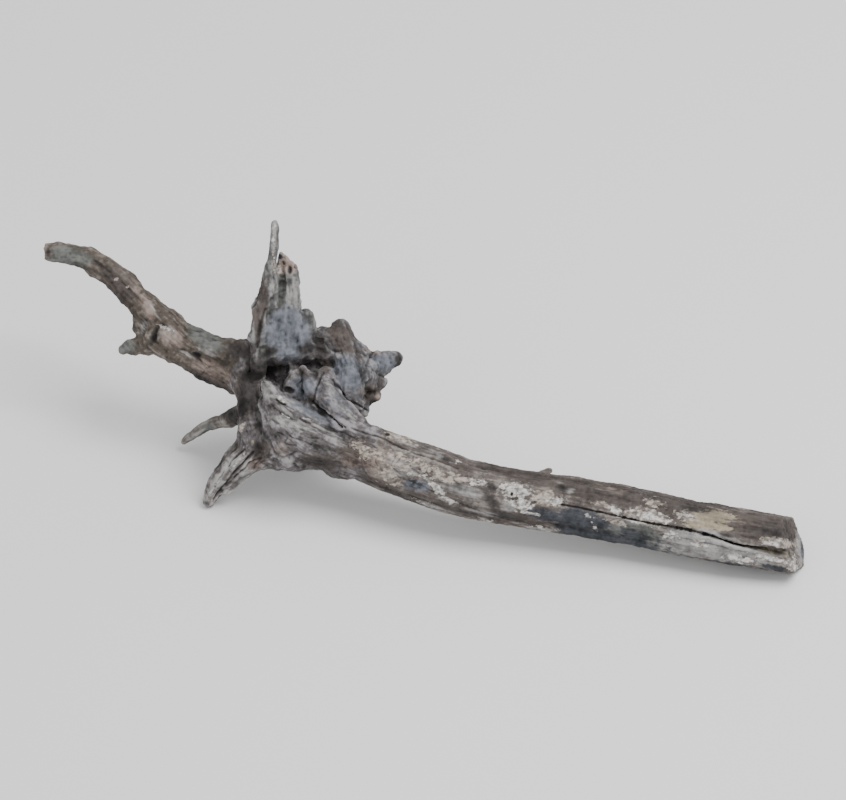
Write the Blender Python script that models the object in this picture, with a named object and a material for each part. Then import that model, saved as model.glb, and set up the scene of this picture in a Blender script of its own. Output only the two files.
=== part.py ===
"""One weathered piece of sinker wood: a trunk, its root crown and five broken roots.

The wood grew as one branching piece, so it is modelled as bundles of fibre strands that run
together, and then parted at its main forks. Every strand is a list of stations. A station is
(across, rise, height, radius) in millimetres: how far to the right it lies, how far up it lies
in a view taken from VIEW_ELEVATION above the table, its height over the table, and the strand's
radius there.
"""

import math

import bmesh
import bpy
from mathutils import Matrix, Vector

MM = 0.001

# Driving dimensions
VIEW_ELEVATION = math.radians(42.0)
MIDDLE_ACROSS = -0.2
MIDDLE_DEPTH = 112.1
FORK_GAP = 0.3

# How fine the solids are
STEPS_PER_SPAN = 3
TUBE_SIDES = 4
FORM_VOXEL = 1.6
FILLET_FACTOR = 0.5
FILLET_PASSES = 6
FORM_TRIANGLES = 7000
CUTTER_SIDES = 16

# How large the cutters are, in millimetres
SAW_BLOCK = 120
BREAK_BLOCK = 60
TABLE_BLOCK = 1000

TRUNK = {
    "stem": [
        (-58.5, 100, 54, 21.5), (-30.5, 89, 50, 23), (5.5, 77, 46, 23.5), (41.5, 66, 42, 22.3),
        (77.5, 60, 39, 21.9), (113.5, 54.2, 36, 22.1), (149.5, 48.3, 33, 22.7), (185.5, 41.5, 30.5, 22.8),
        (221.5, 34, 28, 22.7), (257.5, 27.8, 25.5, 22.6), (310, 20.4, 20.8, 22.5),
    ],
    "top_ridge": [
        (-66.5, 118.5, 79, 7), (-41, 108.7, 71, 8), (-18.5, 101, 65, 8), (5.5, 93, 60, 7.5),
        (29.5, 85, 55, 7), (53.5, 77.5, 51, 5.5), (77.5, 73.5, 48, 4),
    ],
    "twig_stub": [(93.5, 77, 45, 5), (100.5, 81.5, 48, 3)],
    "knot_left": [(14, 91, 65, 6), (24, 86.5, 64, 5)],
    "knot_right": [(104, 69, 56, 5), (114, 66, 55, 4.5)],
}

CROWN = {
    "heart": [(-57, 99, 54, 21.5), (-84, 104, 56, 21.8), (-106.5, 105.5, 57, 24), (-125.5, 113.5, 60, 20)],
    "front_lip": [
        (-46.5, 109, 62, 7), (-70.5, 113.5, 70, 9), (-94.5, 121.5, 79, 10.5), (-110.5, 131, 87, 10.5),
        (-120, 141.5, 95, 8), (-124.5, 149, 100, 5),
    ],
    "front_wall": [
        (-46.5, 97.5, 56, 10.5), (-74.5, 101, 63, 13.5), (-98.5, 108, 70, 15), (-113.5, 119, 77, 14),
        (-122.5, 133, 86, 10),
    ],
    "front_fill": [(-124, 128, 70, 14.5), (-110.5, 121.5, 70, 16), (-90.5, 117.5, 68, 14.5)],
    "left_column": [(-149.5, 165, 86, 13), (-139, 144, 82, 10.5), (-136, 123, 72, 10.5), (-136, 106, 58, 12)],
    "back": [(-129, 165, 84, 13), (-110.5, 165, 84, 17.5), (-89, 165, 84, 19), (-70.5, 160, 80, 16)],
    "saddle": [(-110.5, 177.5, 100, 13), (-89, 179, 104, 13), (-70.5, 176, 100, 14.5)],
    "belly": [(-116, 94, 44, 13), (-97, 96.5, 44, 14)],
    "belly_bump": [(-69.5, 86.5, 46, 11.5), (-57, 85, 46, 11.5)],
    "pale_facet": [(-57, 115, 72, 7), (-68, 128, 83, 9), (-75, 141, 92, 10), (-78.5, 155, 99, 9.5)],
    "facet_edge": [(-63.5, 134, 87, 6.5), (-56, 125.5, 79, 6), (-49, 118, 72, 5)],
    "cup_ridge": [(-89, 134.5, 86, 6.5), (-86.5, 143, 93, 7), (-88, 153.5, 99, 6), (-94.5, 161, 101, 4.5)],
    "inner_stub": [(-102, 158.5, 96, 6), (-102.5, 150, 92.5, 7.5), (-107, 141, 87, 6)],
    "cup_fill": [(-100, 141, 82, 9.5), (-90.5, 131, 80, 9.5), (-81, 137.5, 82, 11)],
    "core": [(-106.5, 141.5, 66, 19), (-84, 137.5, 66, 20), (-62.5, 131, 62, 16)],
    "cup_floor": [(-95, 150.5, 88, 8), (-81, 150.5, 88, 9.5)],
    "back_heel": [(-62.5, 149.5, 65, 16), (-65, 136, 35, 12), (-66.5, 124, 7, 8.5)],
}

FLARED_ROOT = {
    "body": [(-69.5, 149, 84, 16), (-57, 155, 87, 18.5), (-47, 163, 86, 14.5)],
    "front_fold": [
        (-52, 134.5, 80, 7), (-57.5, 147, 90, 9.5), (-60, 163, 98, 10.5), (-65, 177.5, 104, 10.5),
        (-65.5, 193.5, 110, 7.5),
    ],
    "peak": [(-82.5, 177.5, 98, 13), (-73, 185, 104, 11), (-66, 195, 110, 7.5)],
    "upper_edge": [(-64, 193.5, 107, 6.5), (-56, 181.5, 99, 6.5), (-47, 171, 93, 8)],
    "horn": [(-49, 161, 84, 14.5), (-36, 166, 87, 11), (-26.5, 169, 89, 8), (-22.8, 169.6, 89, 6.5)],
    "tooth_high": [(-54.5, 148, 80, 13.5), (-43, 149.5, 79, 9.5), (-33, 152, 79, 4.5)],
    "tooth_middle": [(-57, 141, 72, 13), (-46, 141, 73, 9.5), (-37.5, 141, 73, 4.5)],
    "tooth_low": [(-58.5, 131, 66, 10.5), (-49.5, 130, 66, 7), (-47.5, 126.5, 66, 3.5)],
}

UPRIGHT_ROOT = {
    "needle": [
        (-131, 155, 91, 6.5), (-130.5, 168, 103.5, 7), (-130, 181.5, 116.5, 7), (-129, 197.5, 132, 6.7),
        (-128.4, 213.5, 147, 6.6), (-124.2, 229.5, 162.5, 5.3), (-120.2, 245.5, 178, 4.2), (-118.1, 257.5, 189.5, 4),
        (-117.6, 269.5, 201, 3.8), (-117.5, 277.5, 209, 3.4),
    ],
    "plate_left": [
        (-117.5, 176, 106, 13), (-118.5, 189.5, 119, 11), (-118.5, 209.5, 138.5, 9), (-116, 225.5, 154, 7),
        (-115, 240, 167.5, 5),
    ],
    "plate_right": [
        (-103, 176, 105, 13), (-107, 189.5, 118, 11), (-109.5, 209.5, 137.5, 9), (-110.5, 225.5, 153, 7),
        (-110.5, 238.5, 165, 5),
    ],
    "right_edge": [
        (-95, 176, 106, 9.5), (-99, 193.5, 123, 8.5), (-103.5, 209.5, 138.5, 6.7), (-104.5, 225.5, 154, 6.7),
        (-105, 239, 167, 6),
    ],
    "step": [(-91, 181.5, 109.5, 9.5), (-92, 193.5, 121, 7.5), (-93, 204, 131, 6.5)],
    "saddle_shoulder": [(-82, 183, 101, 14), (-89, 179, 100, 14.5)],
    "splinter_1": [(-114.5, 241, 168, 3.6), (-112.5, 254, 180, 2.2)],
    "splinter_2": [(-110, 239, 165, 3.6), (-109, 250, 175, 2.3)],
    "splinter_3": [(-106, 238, 166, 3.8), (-104.8, 246, 173.5, 2.4)],
    "splinter_4": [(-101.5, 235, 162, 4.2), (-101, 243.2, 169.5, 3)],
}

LONG_ROOT = {
    "stem": [
        (-129, 149.5, 74, 16), (-150.5, 160.5, 79, 16.5), (-174.5, 171.5, 85, 17), (-190.5, 181.5, 91, 16.8),
        (-204, 194, 98, 16), (-218.5, 208.5, 106, 13.5), (-233, 223, 114, 12), (-246.5, 236, 122, 11.2),
        (-258.5, 245.5, 129, 10.7), (-270.5, 251.7, 134, 10), (-282.5, 253.8, 137, 9), (-306, 255.5, 142, 7.6),
    ],
    "spur": [(-199, 178.5, 92, 12), (-212, 184.5, 94, 11.3), (-221.5, 182.5, 90, 8.3), (-232, 180.5, 87, 6),
             (-238.5, 179, 85, 4.2), (-240.5, 178, 84, 3.6)],
    "spur_web": [(-224, 213.5, 106, 9), (-223, 200, 99, 9), (-222.5, 189, 94, 8)],
    "upper_muscle": [(-204, 195.5, 98, 11.5), (-190.5, 187.3, 97, 11.7), (-174.5, 179.3, 95, 12.7), (-158.5, 175.5, 96, 11.5),
                     (-138.5, 173.5, 97, 12.5)],
}

THIN_ROOT = {
    "stem": [
        (-138.5, 128.5, 70, 10), (-146.5, 125.6, 63, 8), (-156, 121.8, 52, 6), (-169, 118.2, 38, 5),
        (-180, 112.8, 25, 4.3), (-188.5, 106.6, 14, 3.7), (-192, 103.8, 10, 3.2),
    ],
}

LOWER_ROOT = {
    "stem": [
        (-132.5, 104.5, 56, 14), (-145, 90, 40, 12.8), (-156.8, 78.5, 27, 11), (-164.5, 69, 16, 8.7),
        (-169.5, 60, 8, 6), (-171, 57, 4.5, 5.5),
    ],
    "outer_flute": [(-124, 95.5, 45, 12), (-137, 87, 34, 8.5), (-148.5, 76.5, 24, 7), (-157, 66.5, 15, 5.4)],
}

# Rounded hollows, as strands of missing wood
HOLLOWS = {
    "crown_hollow": [
        (-136, 160.5, 94, 2.6), (-130, 160.5, 94, 5), (-121.5, 159, 93, 7), (-114, 154.5, 92, 6),
        (-109, 150, 91, 3.4),
    ],
    "cup_pocket": [(-111, 147.5, 97, 2.2), (-105, 142.5, 96, 2.2)],
    "saddle_pit": [(-84, 181, 117, 3), (-81, 187, 117, 3)],
    "spur_knot_hole": [(-215.5, 188.5, 105, 2.6), (-213, 190.5, 106, 3.6)],
}

# Drying cracks: stations on the surface with half the crack's width there
CRACKS = {
    "trunk_split": ([
        (112, 55, 52, 0.3), (123, 53, 50.5, 0.5), (148, 47.2, 47.5, 0.8), (184, 39.2, 44, 1.0),
        (212, 34.4, 42.5, 1.0), (229, 30, 40, 1.2), (246, 24, 36.5, 1.5), (265, 20, 34, 1.8),
        (281, 16.8, 32, 2.8), (312, 14, 31, 4.2),
    ], 12.0),
    "ridge_groove": ([
        (-56, 115, 78, 0.3), (-40, 111, 76, 1.0), (-22, 105, 73.5, 1.5), (0, 95.5, 70, 1.3),
        (20, 86.5, 66.5, 1.2), (40, 76.5, 62.5, 0.8),
    ], 4.0),
    "flare_crevice": ([
        (-71, 154.5, 108, 1.2), (-65, 145, 102, 1.6), (-58.5, 137.5, 96, 1.8), (-52, 133.5, 91, 1.6),
        (-44, 129.5, 84, 1.4),
    ], 7.0),
    "facet_crevice": ([
        (-86, 135.5, 97, 1.5), (-78.5, 127, 90, 1.4), (-69.5, 121, 83, 1.2), (-62.5, 117, 78, 0.7),
    ], 6.0),
}

# The forks: where each limb is parted, the way it leaves, and the radius and length of its reach
FORKS = {
    "trunk": ((-36, 92, 50.5), (0.93, -0.35, -0.10), 84, 460),
    "upright_root": ((-111, 187, 117), (0.0, 0.41, 0.91), 29.5, 150),
    "flared_root": ((-62, 157.5, 91), (0.88, 0.315, 0.35), 45, 90),
    "long_root": ((-148, 163, 80.5), (-0.90, 0.38, 0.22), 40, 260),
    "thin_root": ((-148.5, 125, 61), (-0.60, 0.39, -0.69), 12, 100),
    "lower_root": ((-139.5, 98.5, 49), (-0.63, -0.26, -0.73), 27, 90),
}
TRUNK_END = (293, 21.6, 22.5)
TRUNK_END_FACING = (0.92, -0.144, 0.363)
SPLIT_LIP = (295.2, 3, 15)
SPLIT_LIP_FACING = (0.42, -0.606, -0.673)
LONG_ROOT_END = (-300.5, 255.5, 141)
LONG_ROOT_END_FACING = (-0.93, 0.30, -0.10)

# Long muscles of grain round a stem: where each begins, in degrees, and its share of the stem's radius
FLUTES = {
    "trunk": ((18, 0.58), (80, 0.5), (142, 0.55), (205, 0.6), (262, 0.5), (318, 0.55)),
    "long_root": ((10, 0.55), (95, 0.6), (190, 0.5), (275, 0.55)),
}
FLUTE_TURN = 38
FLUTE_SWELL = 1.05
FLUTED_CORE = 0.9

LIMBS = {
    "trunk": TRUNK,
    "root_crown": CROWN,
    "upright_root": UPRIGHT_ROOT,
    "flared_root": FLARED_ROOT,
    "long_root": LONG_ROOT,
    "thin_root": THIN_ROOT,
    "lower_root": LOWER_ROOT,
}

# Surface colour and roughness of each limb
COLOURS = {
    "trunk": ((0.27, 0.22, 0.19), 0.86),
    "root_crown": ((0.30, 0.26, 0.24), 0.88),
    "upright_root": ((0.27, 0.28, 0.30), 0.86),
    "flared_root": ((0.21, 0.20, 0.21), 0.86),
    "long_root": ((0.27, 0.23, 0.19), 0.87),
    "thin_root": ((0.20, 0.17, 0.14), 0.88),
    "lower_root": ((0.29, 0.26, 0.24), 0.87),
}


def place(across, rise, height):
    """Return the point, in metres, of a station's across, rise and height."""
    depth = (rise - height * math.cos(VIEW_ELEVATION)) / math.sin(VIEW_ELEVATION)
    return Vector((across - MIDDLE_ACROSS, depth - MIDDLE_DEPTH, height)) * MM


def smooth_stations(stations):
    """Return points and radii along a smooth curve through the stations."""
    knots = [(place(*station[:3]), station[3] * MM) for station in stations]
    if len(knots) < 3:
        return knots
    curve = []
    for index in range(len(knots) - 1):
        around = [knots[min(max(index + step, 0), len(knots) - 1)] for step in (-1, 0, 1, 2)]
        for step in range(STEPS_PER_SPAN):
            t = step / STEPS_PER_SPAN
            weights = (
                (-t + 2 * t**2 - t**3) / 2,
                (2 - 5 * t**2 + 3 * t**3) / 2,
                (t + 4 * t**2 - 3 * t**3) / 2,
                (t**3 - t**2) / 2,
            )
            point = sum((w * knot[0] for w, knot in zip(weights, around)), Vector())
            radius = sum(w * knot[1] for w, knot in zip(weights, around))
            curve.append((point, radius))
    curve.append(knots[-1])
    return curve


def round_the_ends(curve):
    """Return the curve with a dome of shrinking stations added at each end."""
    def dome(tip, inner):
        outward = (tip[0] - inner[0]).normalized()
        angles = [math.radians(angle) for angle in (35, 65, 85)]
        return [(tip[0] + outward * tip[1] * math.sin(a), tip[1] * math.cos(a)) for a in angles]

    return dome(curve[0], curve[1])[::-1] + curve + dome(curve[-1], curve[-2])


def fluted(stations, muscles):
    """Return the stem's slimmer core and the muscles of grain that wind slowly round it."""
    strands = [[(*station[:3], station[3] * FLUTED_CORE) for station in stations]]
    for start, share in muscles:
        strand = []
        for index, (across, rise, height, radius) in enumerate(stations):
            angle = math.radians(start + FLUTE_TURN * index / (len(stations) - 1))
            reach = radius * (FLUTE_SWELL - share)
            upward = reach * math.sin(angle)
            forward = reach * math.cos(angle)
            lift = upward * math.cos(VIEW_ELEVATION) + forward * math.sin(VIEW_ELEVATION)
            strand.append((across, rise + upward, height + lift, radius * share))
        strands.append(strand)
    return strands


def strands_object(name, bundles):
    """Return a curve object with one bevelled spline for each strand."""
    data = bpy.data.curves.new(name, "CURVE")
    data.dimensions = "3D"
    data.bevel_depth = MM
    data.bevel_resolution = TUBE_SIDES
    data.use_fill_caps = True
    for stations in bundles:
        curve = round_the_ends(smooth_stations(stations))
        spline = data.splines.new("POLY")
        spline.points.add(len(curve) - 1)
        for spline_point, (point, radius) in zip(spline.points, curve):
            spline_point.co = (*point, 1.0)
            spline_point.radius = radius / MM
    strands = bpy.data.objects.new(name, data)
    bpy.context.scene.collection.objects.link(strands)
    return strands


def evaluated_mesh(source, name):
    """Return a new mesh of the object as its modifiers leave it."""
    graph = bpy.context.evaluated_depsgraph_get()
    mesh = bpy.data.meshes.new_from_object(source.evaluated_get(graph))
    mesh.name = name
    return mesh


def mesh_object(name, mesh):
    """Return a new object of the mesh, linked to the scene."""
    piece = bpy.data.objects.new(name, mesh)
    bpy.context.scene.collection.objects.link(piece)
    return piece


def make_cutter(piece):
    """Mark the object as a cutter, which is not part of the wood."""
    piece.hide_render = True
    piece.display_type = "WIRE"
    return piece


def merged_form():
    """Return the whole wood as one closed mesh: the strands fused, filleted and thinned out."""
    bundles = []
    for name, strands in LIMBS.items():
        for part, stations in strands.items():
            bundles += fluted(stations, FLUTES[name]) if part == "stem" and name in FLUTES else [stations]
    strands = strands_object("strands", bundles)
    form = mesh_object("form", evaluated_mesh(strands, "form"))
    bpy.data.objects.remove(strands)
    fuse = form.modifiers.new("fuse", "REMESH")
    fuse.mode = "VOXEL"
    fuse.voxel_size = FORM_VOXEL * MM
    fillet = form.modifiers.new("fillet", "SMOOTH")
    fillet.factor = FILLET_FACTOR
    fillet.iterations = FILLET_PASSES
    fused = evaluated_mesh(form, "fused")
    triangles = sum(len(face.vertices) - 2 for face in fused.polygons)
    form.modifiers.clear()
    form.data = fused
    thin_out = form.modifiers.new("thin_out", "DECIMATE")
    thin_out.ratio = FORM_TRIANGLES / triangles
    mesh = evaluated_mesh(form, "driftwood")
    bpy.data.objects.remove(form)
    return mesh


def cylinder_cutter(name, start, direction, radius, length):
    """Return a closed cylinder that begins at start and runs along direction."""
    shape = bmesh.new()
    bmesh.ops.create_cone(
        shape, cap_ends=True, segments=CUTTER_SIDES, radius1=radius * MM, radius2=radius * MM, depth=length * MM,
        matrix=Matrix.Translation((0, 0, length * MM / 2)),
    )
    mesh = bpy.data.meshes.new(name)
    shape.to_mesh(mesh)
    shape.free()
    cutter = make_cutter(mesh_object(name, mesh))
    cutter.matrix_world = Matrix.Translation(start) @ Vector(direction).to_track_quat("Z", "Y").to_matrix().to_4x4()
    return cutter


def block_cutter(name, face_centre, facing, size):
    """Return a cube whose near face is centred on face_centre, with the wood to keep behind it."""
    shape = bmesh.new()
    bmesh.ops.create_cube(shape, size=size * MM, matrix=Matrix.Translation((0, 0, size * MM / 2)))
    mesh = bpy.data.meshes.new(name)
    shape.to_mesh(mesh)
    shape.free()
    cutter = make_cutter(mesh_object(name, mesh))
    turn = Vector(facing).to_track_quat("Z", "Y").to_matrix().to_4x4()
    cutter.matrix_world = Matrix.Translation(face_centre) @ turn
    return cutter


def nearest_on_axis(point, stations):
    """Return the point of the strand's smooth axis that is nearest to point."""
    curve = smooth_stations(stations)
    return min((station[0] for station in curve), key=lambda axis_point: (axis_point - point).length)


def crack_cutter(name, stations, depth, axis_stations):
    """Return a wedge that follows the stations and narrows to an edge at the crack's depth."""
    shape = bmesh.new()
    rings = []
    curve = smooth_stations(stations)
    for index, (point, half_width) in enumerate(curve):
        before = curve[max(index - 1, 0)][0]
        after = curve[min(index + 1, len(curve) - 1)][0]
        along = (after - before).normalized()
        inward = nearest_on_axis(point, axis_stations) - point
        inward = (inward - along * inward.dot(along)).normalized()
        sideways = along.cross(inward)
        mouth = point - inward * 6 * MM
        flare = half_width * (depth + 6) / depth
        rings.append([
            shape.verts.new(mouth + sideways * flare),
            shape.verts.new(mouth - sideways * flare),
            shape.verts.new(point + inward * depth * MM),
        ])
    for near, far in zip(rings, rings[1:]):
        for corner in range(3):
            following = (corner + 1) % 3
            shape.faces.new((near[corner], near[following], far[following], far[corner]))
    shape.faces.new(rings[0][::-1])
    shape.faces.new(rings[-1])
    bmesh.ops.recalc_face_normals(shape, faces=shape.faces)
    mesh = bpy.data.meshes.new(name)
    shape.to_mesh(mesh)
    shape.free()
    return make_cutter(mesh_object(name, mesh))


def cut(piece, cutter, operation="DIFFERENCE"):
    """Add a Boolean of the cutter to the piece."""
    boolean = piece.modifiers.new(cutter.name, "BOOLEAN")
    boolean.operation = operation
    boolean.object = cutter
    return boolean


def shape_cutters():
    """Return the cutters for the hollows, the cracks, the sawn and broken ends and the table."""
    cutters = []
    for name, stations in HOLLOWS.items():
        hollow = strands_object(name + "_strand", [stations])
        cutters.append(make_cutter(mesh_object(name, evaluated_mesh(hollow, name))))
        bpy.data.objects.remove(hollow)
    crack_axes = {"trunk_split": TRUNK["stem"], "ridge_groove": TRUNK["stem"]}
    for name, (stations, depth) in CRACKS.items():
        cutters.append(crack_cutter(name, stations, depth, crack_axes.get(name, CROWN["core"])))
    cutters.append(block_cutter("saw_cut", place(*TRUNK_END), TRUNK_END_FACING, SAW_BLOCK))
    cutters.append(block_cutter("lip_break", place(*SPLIT_LIP), SPLIT_LIP_FACING, BREAK_BLOCK))
    cutters.append(block_cutter("root_break", place(*LONG_ROOT_END), LONG_ROOT_END_FACING, BREAK_BLOCK))
    cutters.append(block_cutter("table", (0, 0, 0), (0, 0, -1), TABLE_BLOCK))
    return cutters


def wood_material(name):
    """Return the limb's matte weathered wood."""
    colour, roughness = COLOURS[name]
    material = bpy.data.materials.new(name + "_wood")
    material.use_nodes = True
    shader = material.node_tree.nodes["Principled BSDF"]
    shader.inputs["Base Color"].default_value = (*colour, 1)
    shader.inputs["Roughness"].default_value = roughness
    return material


def limb(name, mesh):
    """Return the named limb, an object of the whole wood's mesh with its own material."""
    piece = mesh_object(name, mesh.copy())
    piece.data.materials.clear()
    piece.data.materials.append(wood_material(name))
    return piece


def main():
    """Build every limb and part them at the forks."""
    for old in list(bpy.data.objects):
        bpy.data.objects.remove(old)

    whole = mesh_object("whole", merged_form())
    for cutter in shape_cutters():
        cut(whole, cutter)
    shaped = evaluated_mesh(whole, "shaped")
    bpy.data.objects.remove(whole)

    crown = limb("root_crown", shaped)
    for name, (centre, leaving, radius, reach) in FORKS.items():
        start = place(*centre)
        outward = Vector(leaving).normalized()
        keep = cylinder_cutter(name + "_reach", start + outward * FORK_GAP * MM, outward, radius, reach)
        cut(limb(name, shaped), keep, "INTERSECT")
        lose = cylinder_cutter(name + "_socket", start, outward, radius + FORK_GAP, reach + FORK_GAP)
        cut(crown, lose)


main()
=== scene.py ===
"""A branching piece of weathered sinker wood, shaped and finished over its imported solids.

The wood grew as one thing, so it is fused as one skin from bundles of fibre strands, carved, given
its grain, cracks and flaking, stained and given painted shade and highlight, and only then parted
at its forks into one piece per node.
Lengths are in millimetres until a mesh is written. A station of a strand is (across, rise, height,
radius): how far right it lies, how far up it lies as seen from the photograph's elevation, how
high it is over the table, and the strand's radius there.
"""

import logging
import math
from collections.abc import Sequence
from dataclasses import dataclass, field, replace
from enum import Enum

import bmesh
import bpy
import numpy as np
from mathutils import Matrix, Vector


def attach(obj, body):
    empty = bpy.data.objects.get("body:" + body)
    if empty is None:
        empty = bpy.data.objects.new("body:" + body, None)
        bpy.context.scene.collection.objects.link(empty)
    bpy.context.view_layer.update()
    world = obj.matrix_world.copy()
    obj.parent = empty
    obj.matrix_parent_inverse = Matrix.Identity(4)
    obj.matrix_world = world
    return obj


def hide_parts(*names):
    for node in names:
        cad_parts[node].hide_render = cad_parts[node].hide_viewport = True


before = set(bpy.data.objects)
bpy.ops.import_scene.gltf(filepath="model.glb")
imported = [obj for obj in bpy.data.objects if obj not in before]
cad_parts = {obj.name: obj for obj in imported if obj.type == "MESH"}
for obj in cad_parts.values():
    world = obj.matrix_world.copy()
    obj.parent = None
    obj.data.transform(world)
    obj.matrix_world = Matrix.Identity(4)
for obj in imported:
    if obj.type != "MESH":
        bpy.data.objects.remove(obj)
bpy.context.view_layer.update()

LOG = logging.getLogger("sinker_wood")
MM = 0.001
Station = tuple[float, float, float, float]
Stations = Sequence[Station]
Place = tuple[float, float, float]
Colour = tuple[float, float, float]
Socket = bpy.types.NodeSocket
# How many grain lines lead the colours of one limb
GUIDES = 3


@dataclass(frozen=True)
class View:
    """How the photograph sees the wood, and where the wood's own origin lies in that view."""

    elevation: float = math.radians(42.0)
    middle_across: float = -0.2
    middle_depth: float = 112.1
    photo_size: tuple[int, int] = (846, 800)
    origin_pixel: tuple[float, float] = (423.0, 572.0)
    mm_per_pixel: float = 0.8
    centre_rise: float = 137.6

    def place(self, stations: Sequence[Sequence[float]]) -> np.ndarray:
        """Turn stations into points of the row frame.

        Args:
            stations: Rows that begin with across, rise and height.

        Returns:
            One row of x, y, z per station.
        """
        table = np.array([row[:3] for row in stations], float)
        depth = (table[:, 1] - table[:, 2] * math.cos(self.elevation)) / math.sin(self.elevation)
        across = table[:, 0] - self.middle_across
        return np.stack([across, depth - self.middle_depth, table[:, 2]], axis=1)

    def seen(self, points: np.ndarray) -> tuple[np.ndarray, np.ndarray]:
        """Return the across and rise at which points are seen.

        Args:
            points: Rows of x, y, z in the row frame.

        Returns:
            Two arrays, across and rise.
        """
        rise = (points[:, 1] + self.middle_depth) * math.sin(self.elevation)
        rise = rise + points[:, 2] * math.cos(self.elevation)
        return points[:, 0] + self.middle_across, rise

    def toward(self) -> np.ndarray:
        """Return the unit direction from the wood to the camera."""
        return np.array([0.0, -math.cos(self.elevation), math.sin(self.elevation)])


VIEW = View()

TRUNK: dict[str, Stations] = {
    "stem": [
        (-58.5, 100, 54, 21.5), (-30.5, 89, 50, 23), (5.5, 77, 46, 23.5), (41.5, 66, 42, 22.3),
        (77.5, 60, 39, 21.9), (113.5, 54.2, 36, 22.1), (149.5, 48.3, 33, 22.7),
        (185.5, 41.5, 30.5, 22.8), (221.5, 34, 28, 22.7), (257.5, 27.8, 25.5, 22.6),
        (310, 20.4, 20.8, 22.5),
    ],
    "top_ridge": [
        (-66.5, 118.5, 79, 7), (-41, 108.7, 71, 8), (-18.5, 101, 65, 8), (5.5, 93, 60, 7.5),
        (29.5, 85, 55, 7), (53.5, 77.5, 51, 5.5), (77.5, 73.5, 48, 4),
    ],
    "twig_stub": [(93.5, 77, 45, 5), (100.5, 81.5, 48, 3)],
    "knot_left": [(14, 91, 65, 6), (24, 86.5, 64, 5)],
    "knot_right": [(104, 69, 56, 5), (114, 66, 55, 4.5)],
}

CROWN: dict[str, Stations] = {
    "heart": [
        (-57, 99, 54, 21.5), (-84, 104, 56, 21.8), (-106.5, 105.5, 57, 24),
        (-125.5, 113.5, 60, 20),
    ],
    "front_lip": [
        (-46.5, 109, 62, 7), (-70.5, 113.5, 70, 9), (-94.5, 121.5, 79, 10.5),
        (-110.5, 131, 87, 10.5), (-120, 141.5, 95, 8), (-124.5, 149, 100, 5),
    ],
    "front_wall": [
        (-46.5, 97.5, 56, 10.5), (-74.5, 101, 63, 13.5), (-98.5, 108, 70, 15),
        (-113.5, 119, 77, 14), (-122.5, 133, 86, 10),
    ],
    "front_fill": [(-124, 128, 70, 14.5), (-110.5, 121.5, 70, 16), (-90.5, 117.5, 68, 14.5)],
    "left_column": [
        (-149.5, 165, 86, 13), (-139, 144, 82, 10.5), (-136, 123, 72, 10.5), (-136, 106, 58, 12),
    ],
    "back": [
        (-129, 165, 84, 13), (-110.5, 165, 84, 17.5), (-89, 165, 84, 19), (-70.5, 160, 80, 16),
    ],
    "saddle": [(-110.5, 177.5, 100, 13), (-89, 179, 104, 13), (-70.5, 176, 100, 14.5)],
    "belly": [(-116, 94, 44, 13), (-97, 96.5, 44, 14)],
    "belly_bump": [(-69.5, 86.5, 46, 11.5), (-57, 85, 46, 11.5)],
    "pale_facet": [
        (-57, 115, 72, 7), (-68, 128, 83, 9), (-75, 141, 92, 10), (-78.5, 155, 99, 9.5),
    ],
    "facet_edge": [(-63.5, 134, 87, 6.5), (-56, 125.5, 79, 6), (-49, 118, 72, 5)],
    "cup_ridge": [
        (-89, 134.5, 86, 6.5), (-86.5, 143, 93, 7), (-88, 153.5, 99, 6), (-94.5, 161, 101, 4.5),
    ],
    "inner_stub": [(-102, 158.5, 96, 6), (-102.5, 150, 92.5, 7.5), (-107, 141, 87, 6)],
    "cup_fill": [(-100, 141, 82, 9.5), (-90.5, 131, 80, 9.5), (-81, 137.5, 82, 11)],
    "core": [(-106.5, 141.5, 66, 19), (-84, 137.5, 66, 20), (-62.5, 131, 62, 16)],
    "cup_floor": [(-95, 150.5, 88, 8), (-81, 150.5, 88, 9.5)],
    "back_heel": [(-62.5, 149.5, 65, 16), (-65, 136, 35, 12), (-66.5, 124, 7, 8.5)],
}

FLARED_ROOT: dict[str, Stations] = {
    "body": [(-69.5, 149, 84, 16), (-57, 155, 87, 18.5), (-47, 163, 86, 14.5)],
    "front_fold": [
        (-52, 134.5, 80, 7), (-57.5, 147, 90, 9.5), (-60, 163, 98, 10.5), (-65, 177.5, 104, 10.5),
        (-65.5, 193.5, 110, 7.5),
    ],
    "peak": [(-82.5, 177.5, 98, 13), (-73, 185, 104, 11), (-66, 195, 110, 7.5)],
    "upper_edge": [(-64, 193.5, 107, 6.5), (-56, 181.5, 99, 6.5), (-47, 171, 93, 8)],
    "horn": [
        (-49, 161, 84, 14.5), (-36, 166, 87, 11), (-26.5, 169, 89, 8), (-22.8, 169.6, 89, 6.5),
    ],
    "tooth_high": [(-54.5, 148, 80, 13.5), (-43, 149.5, 79, 9.5), (-33, 152, 79, 4.5)],
    "tooth_middle": [(-57, 141, 72, 13), (-46, 141, 73, 9.5), (-37.5, 141, 73, 4.5)],
    "tooth_low": [(-58.5, 131, 66, 10.5), (-49.5, 130, 66, 7), (-47.5, 126.5, 66, 3.5)],
}

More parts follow.
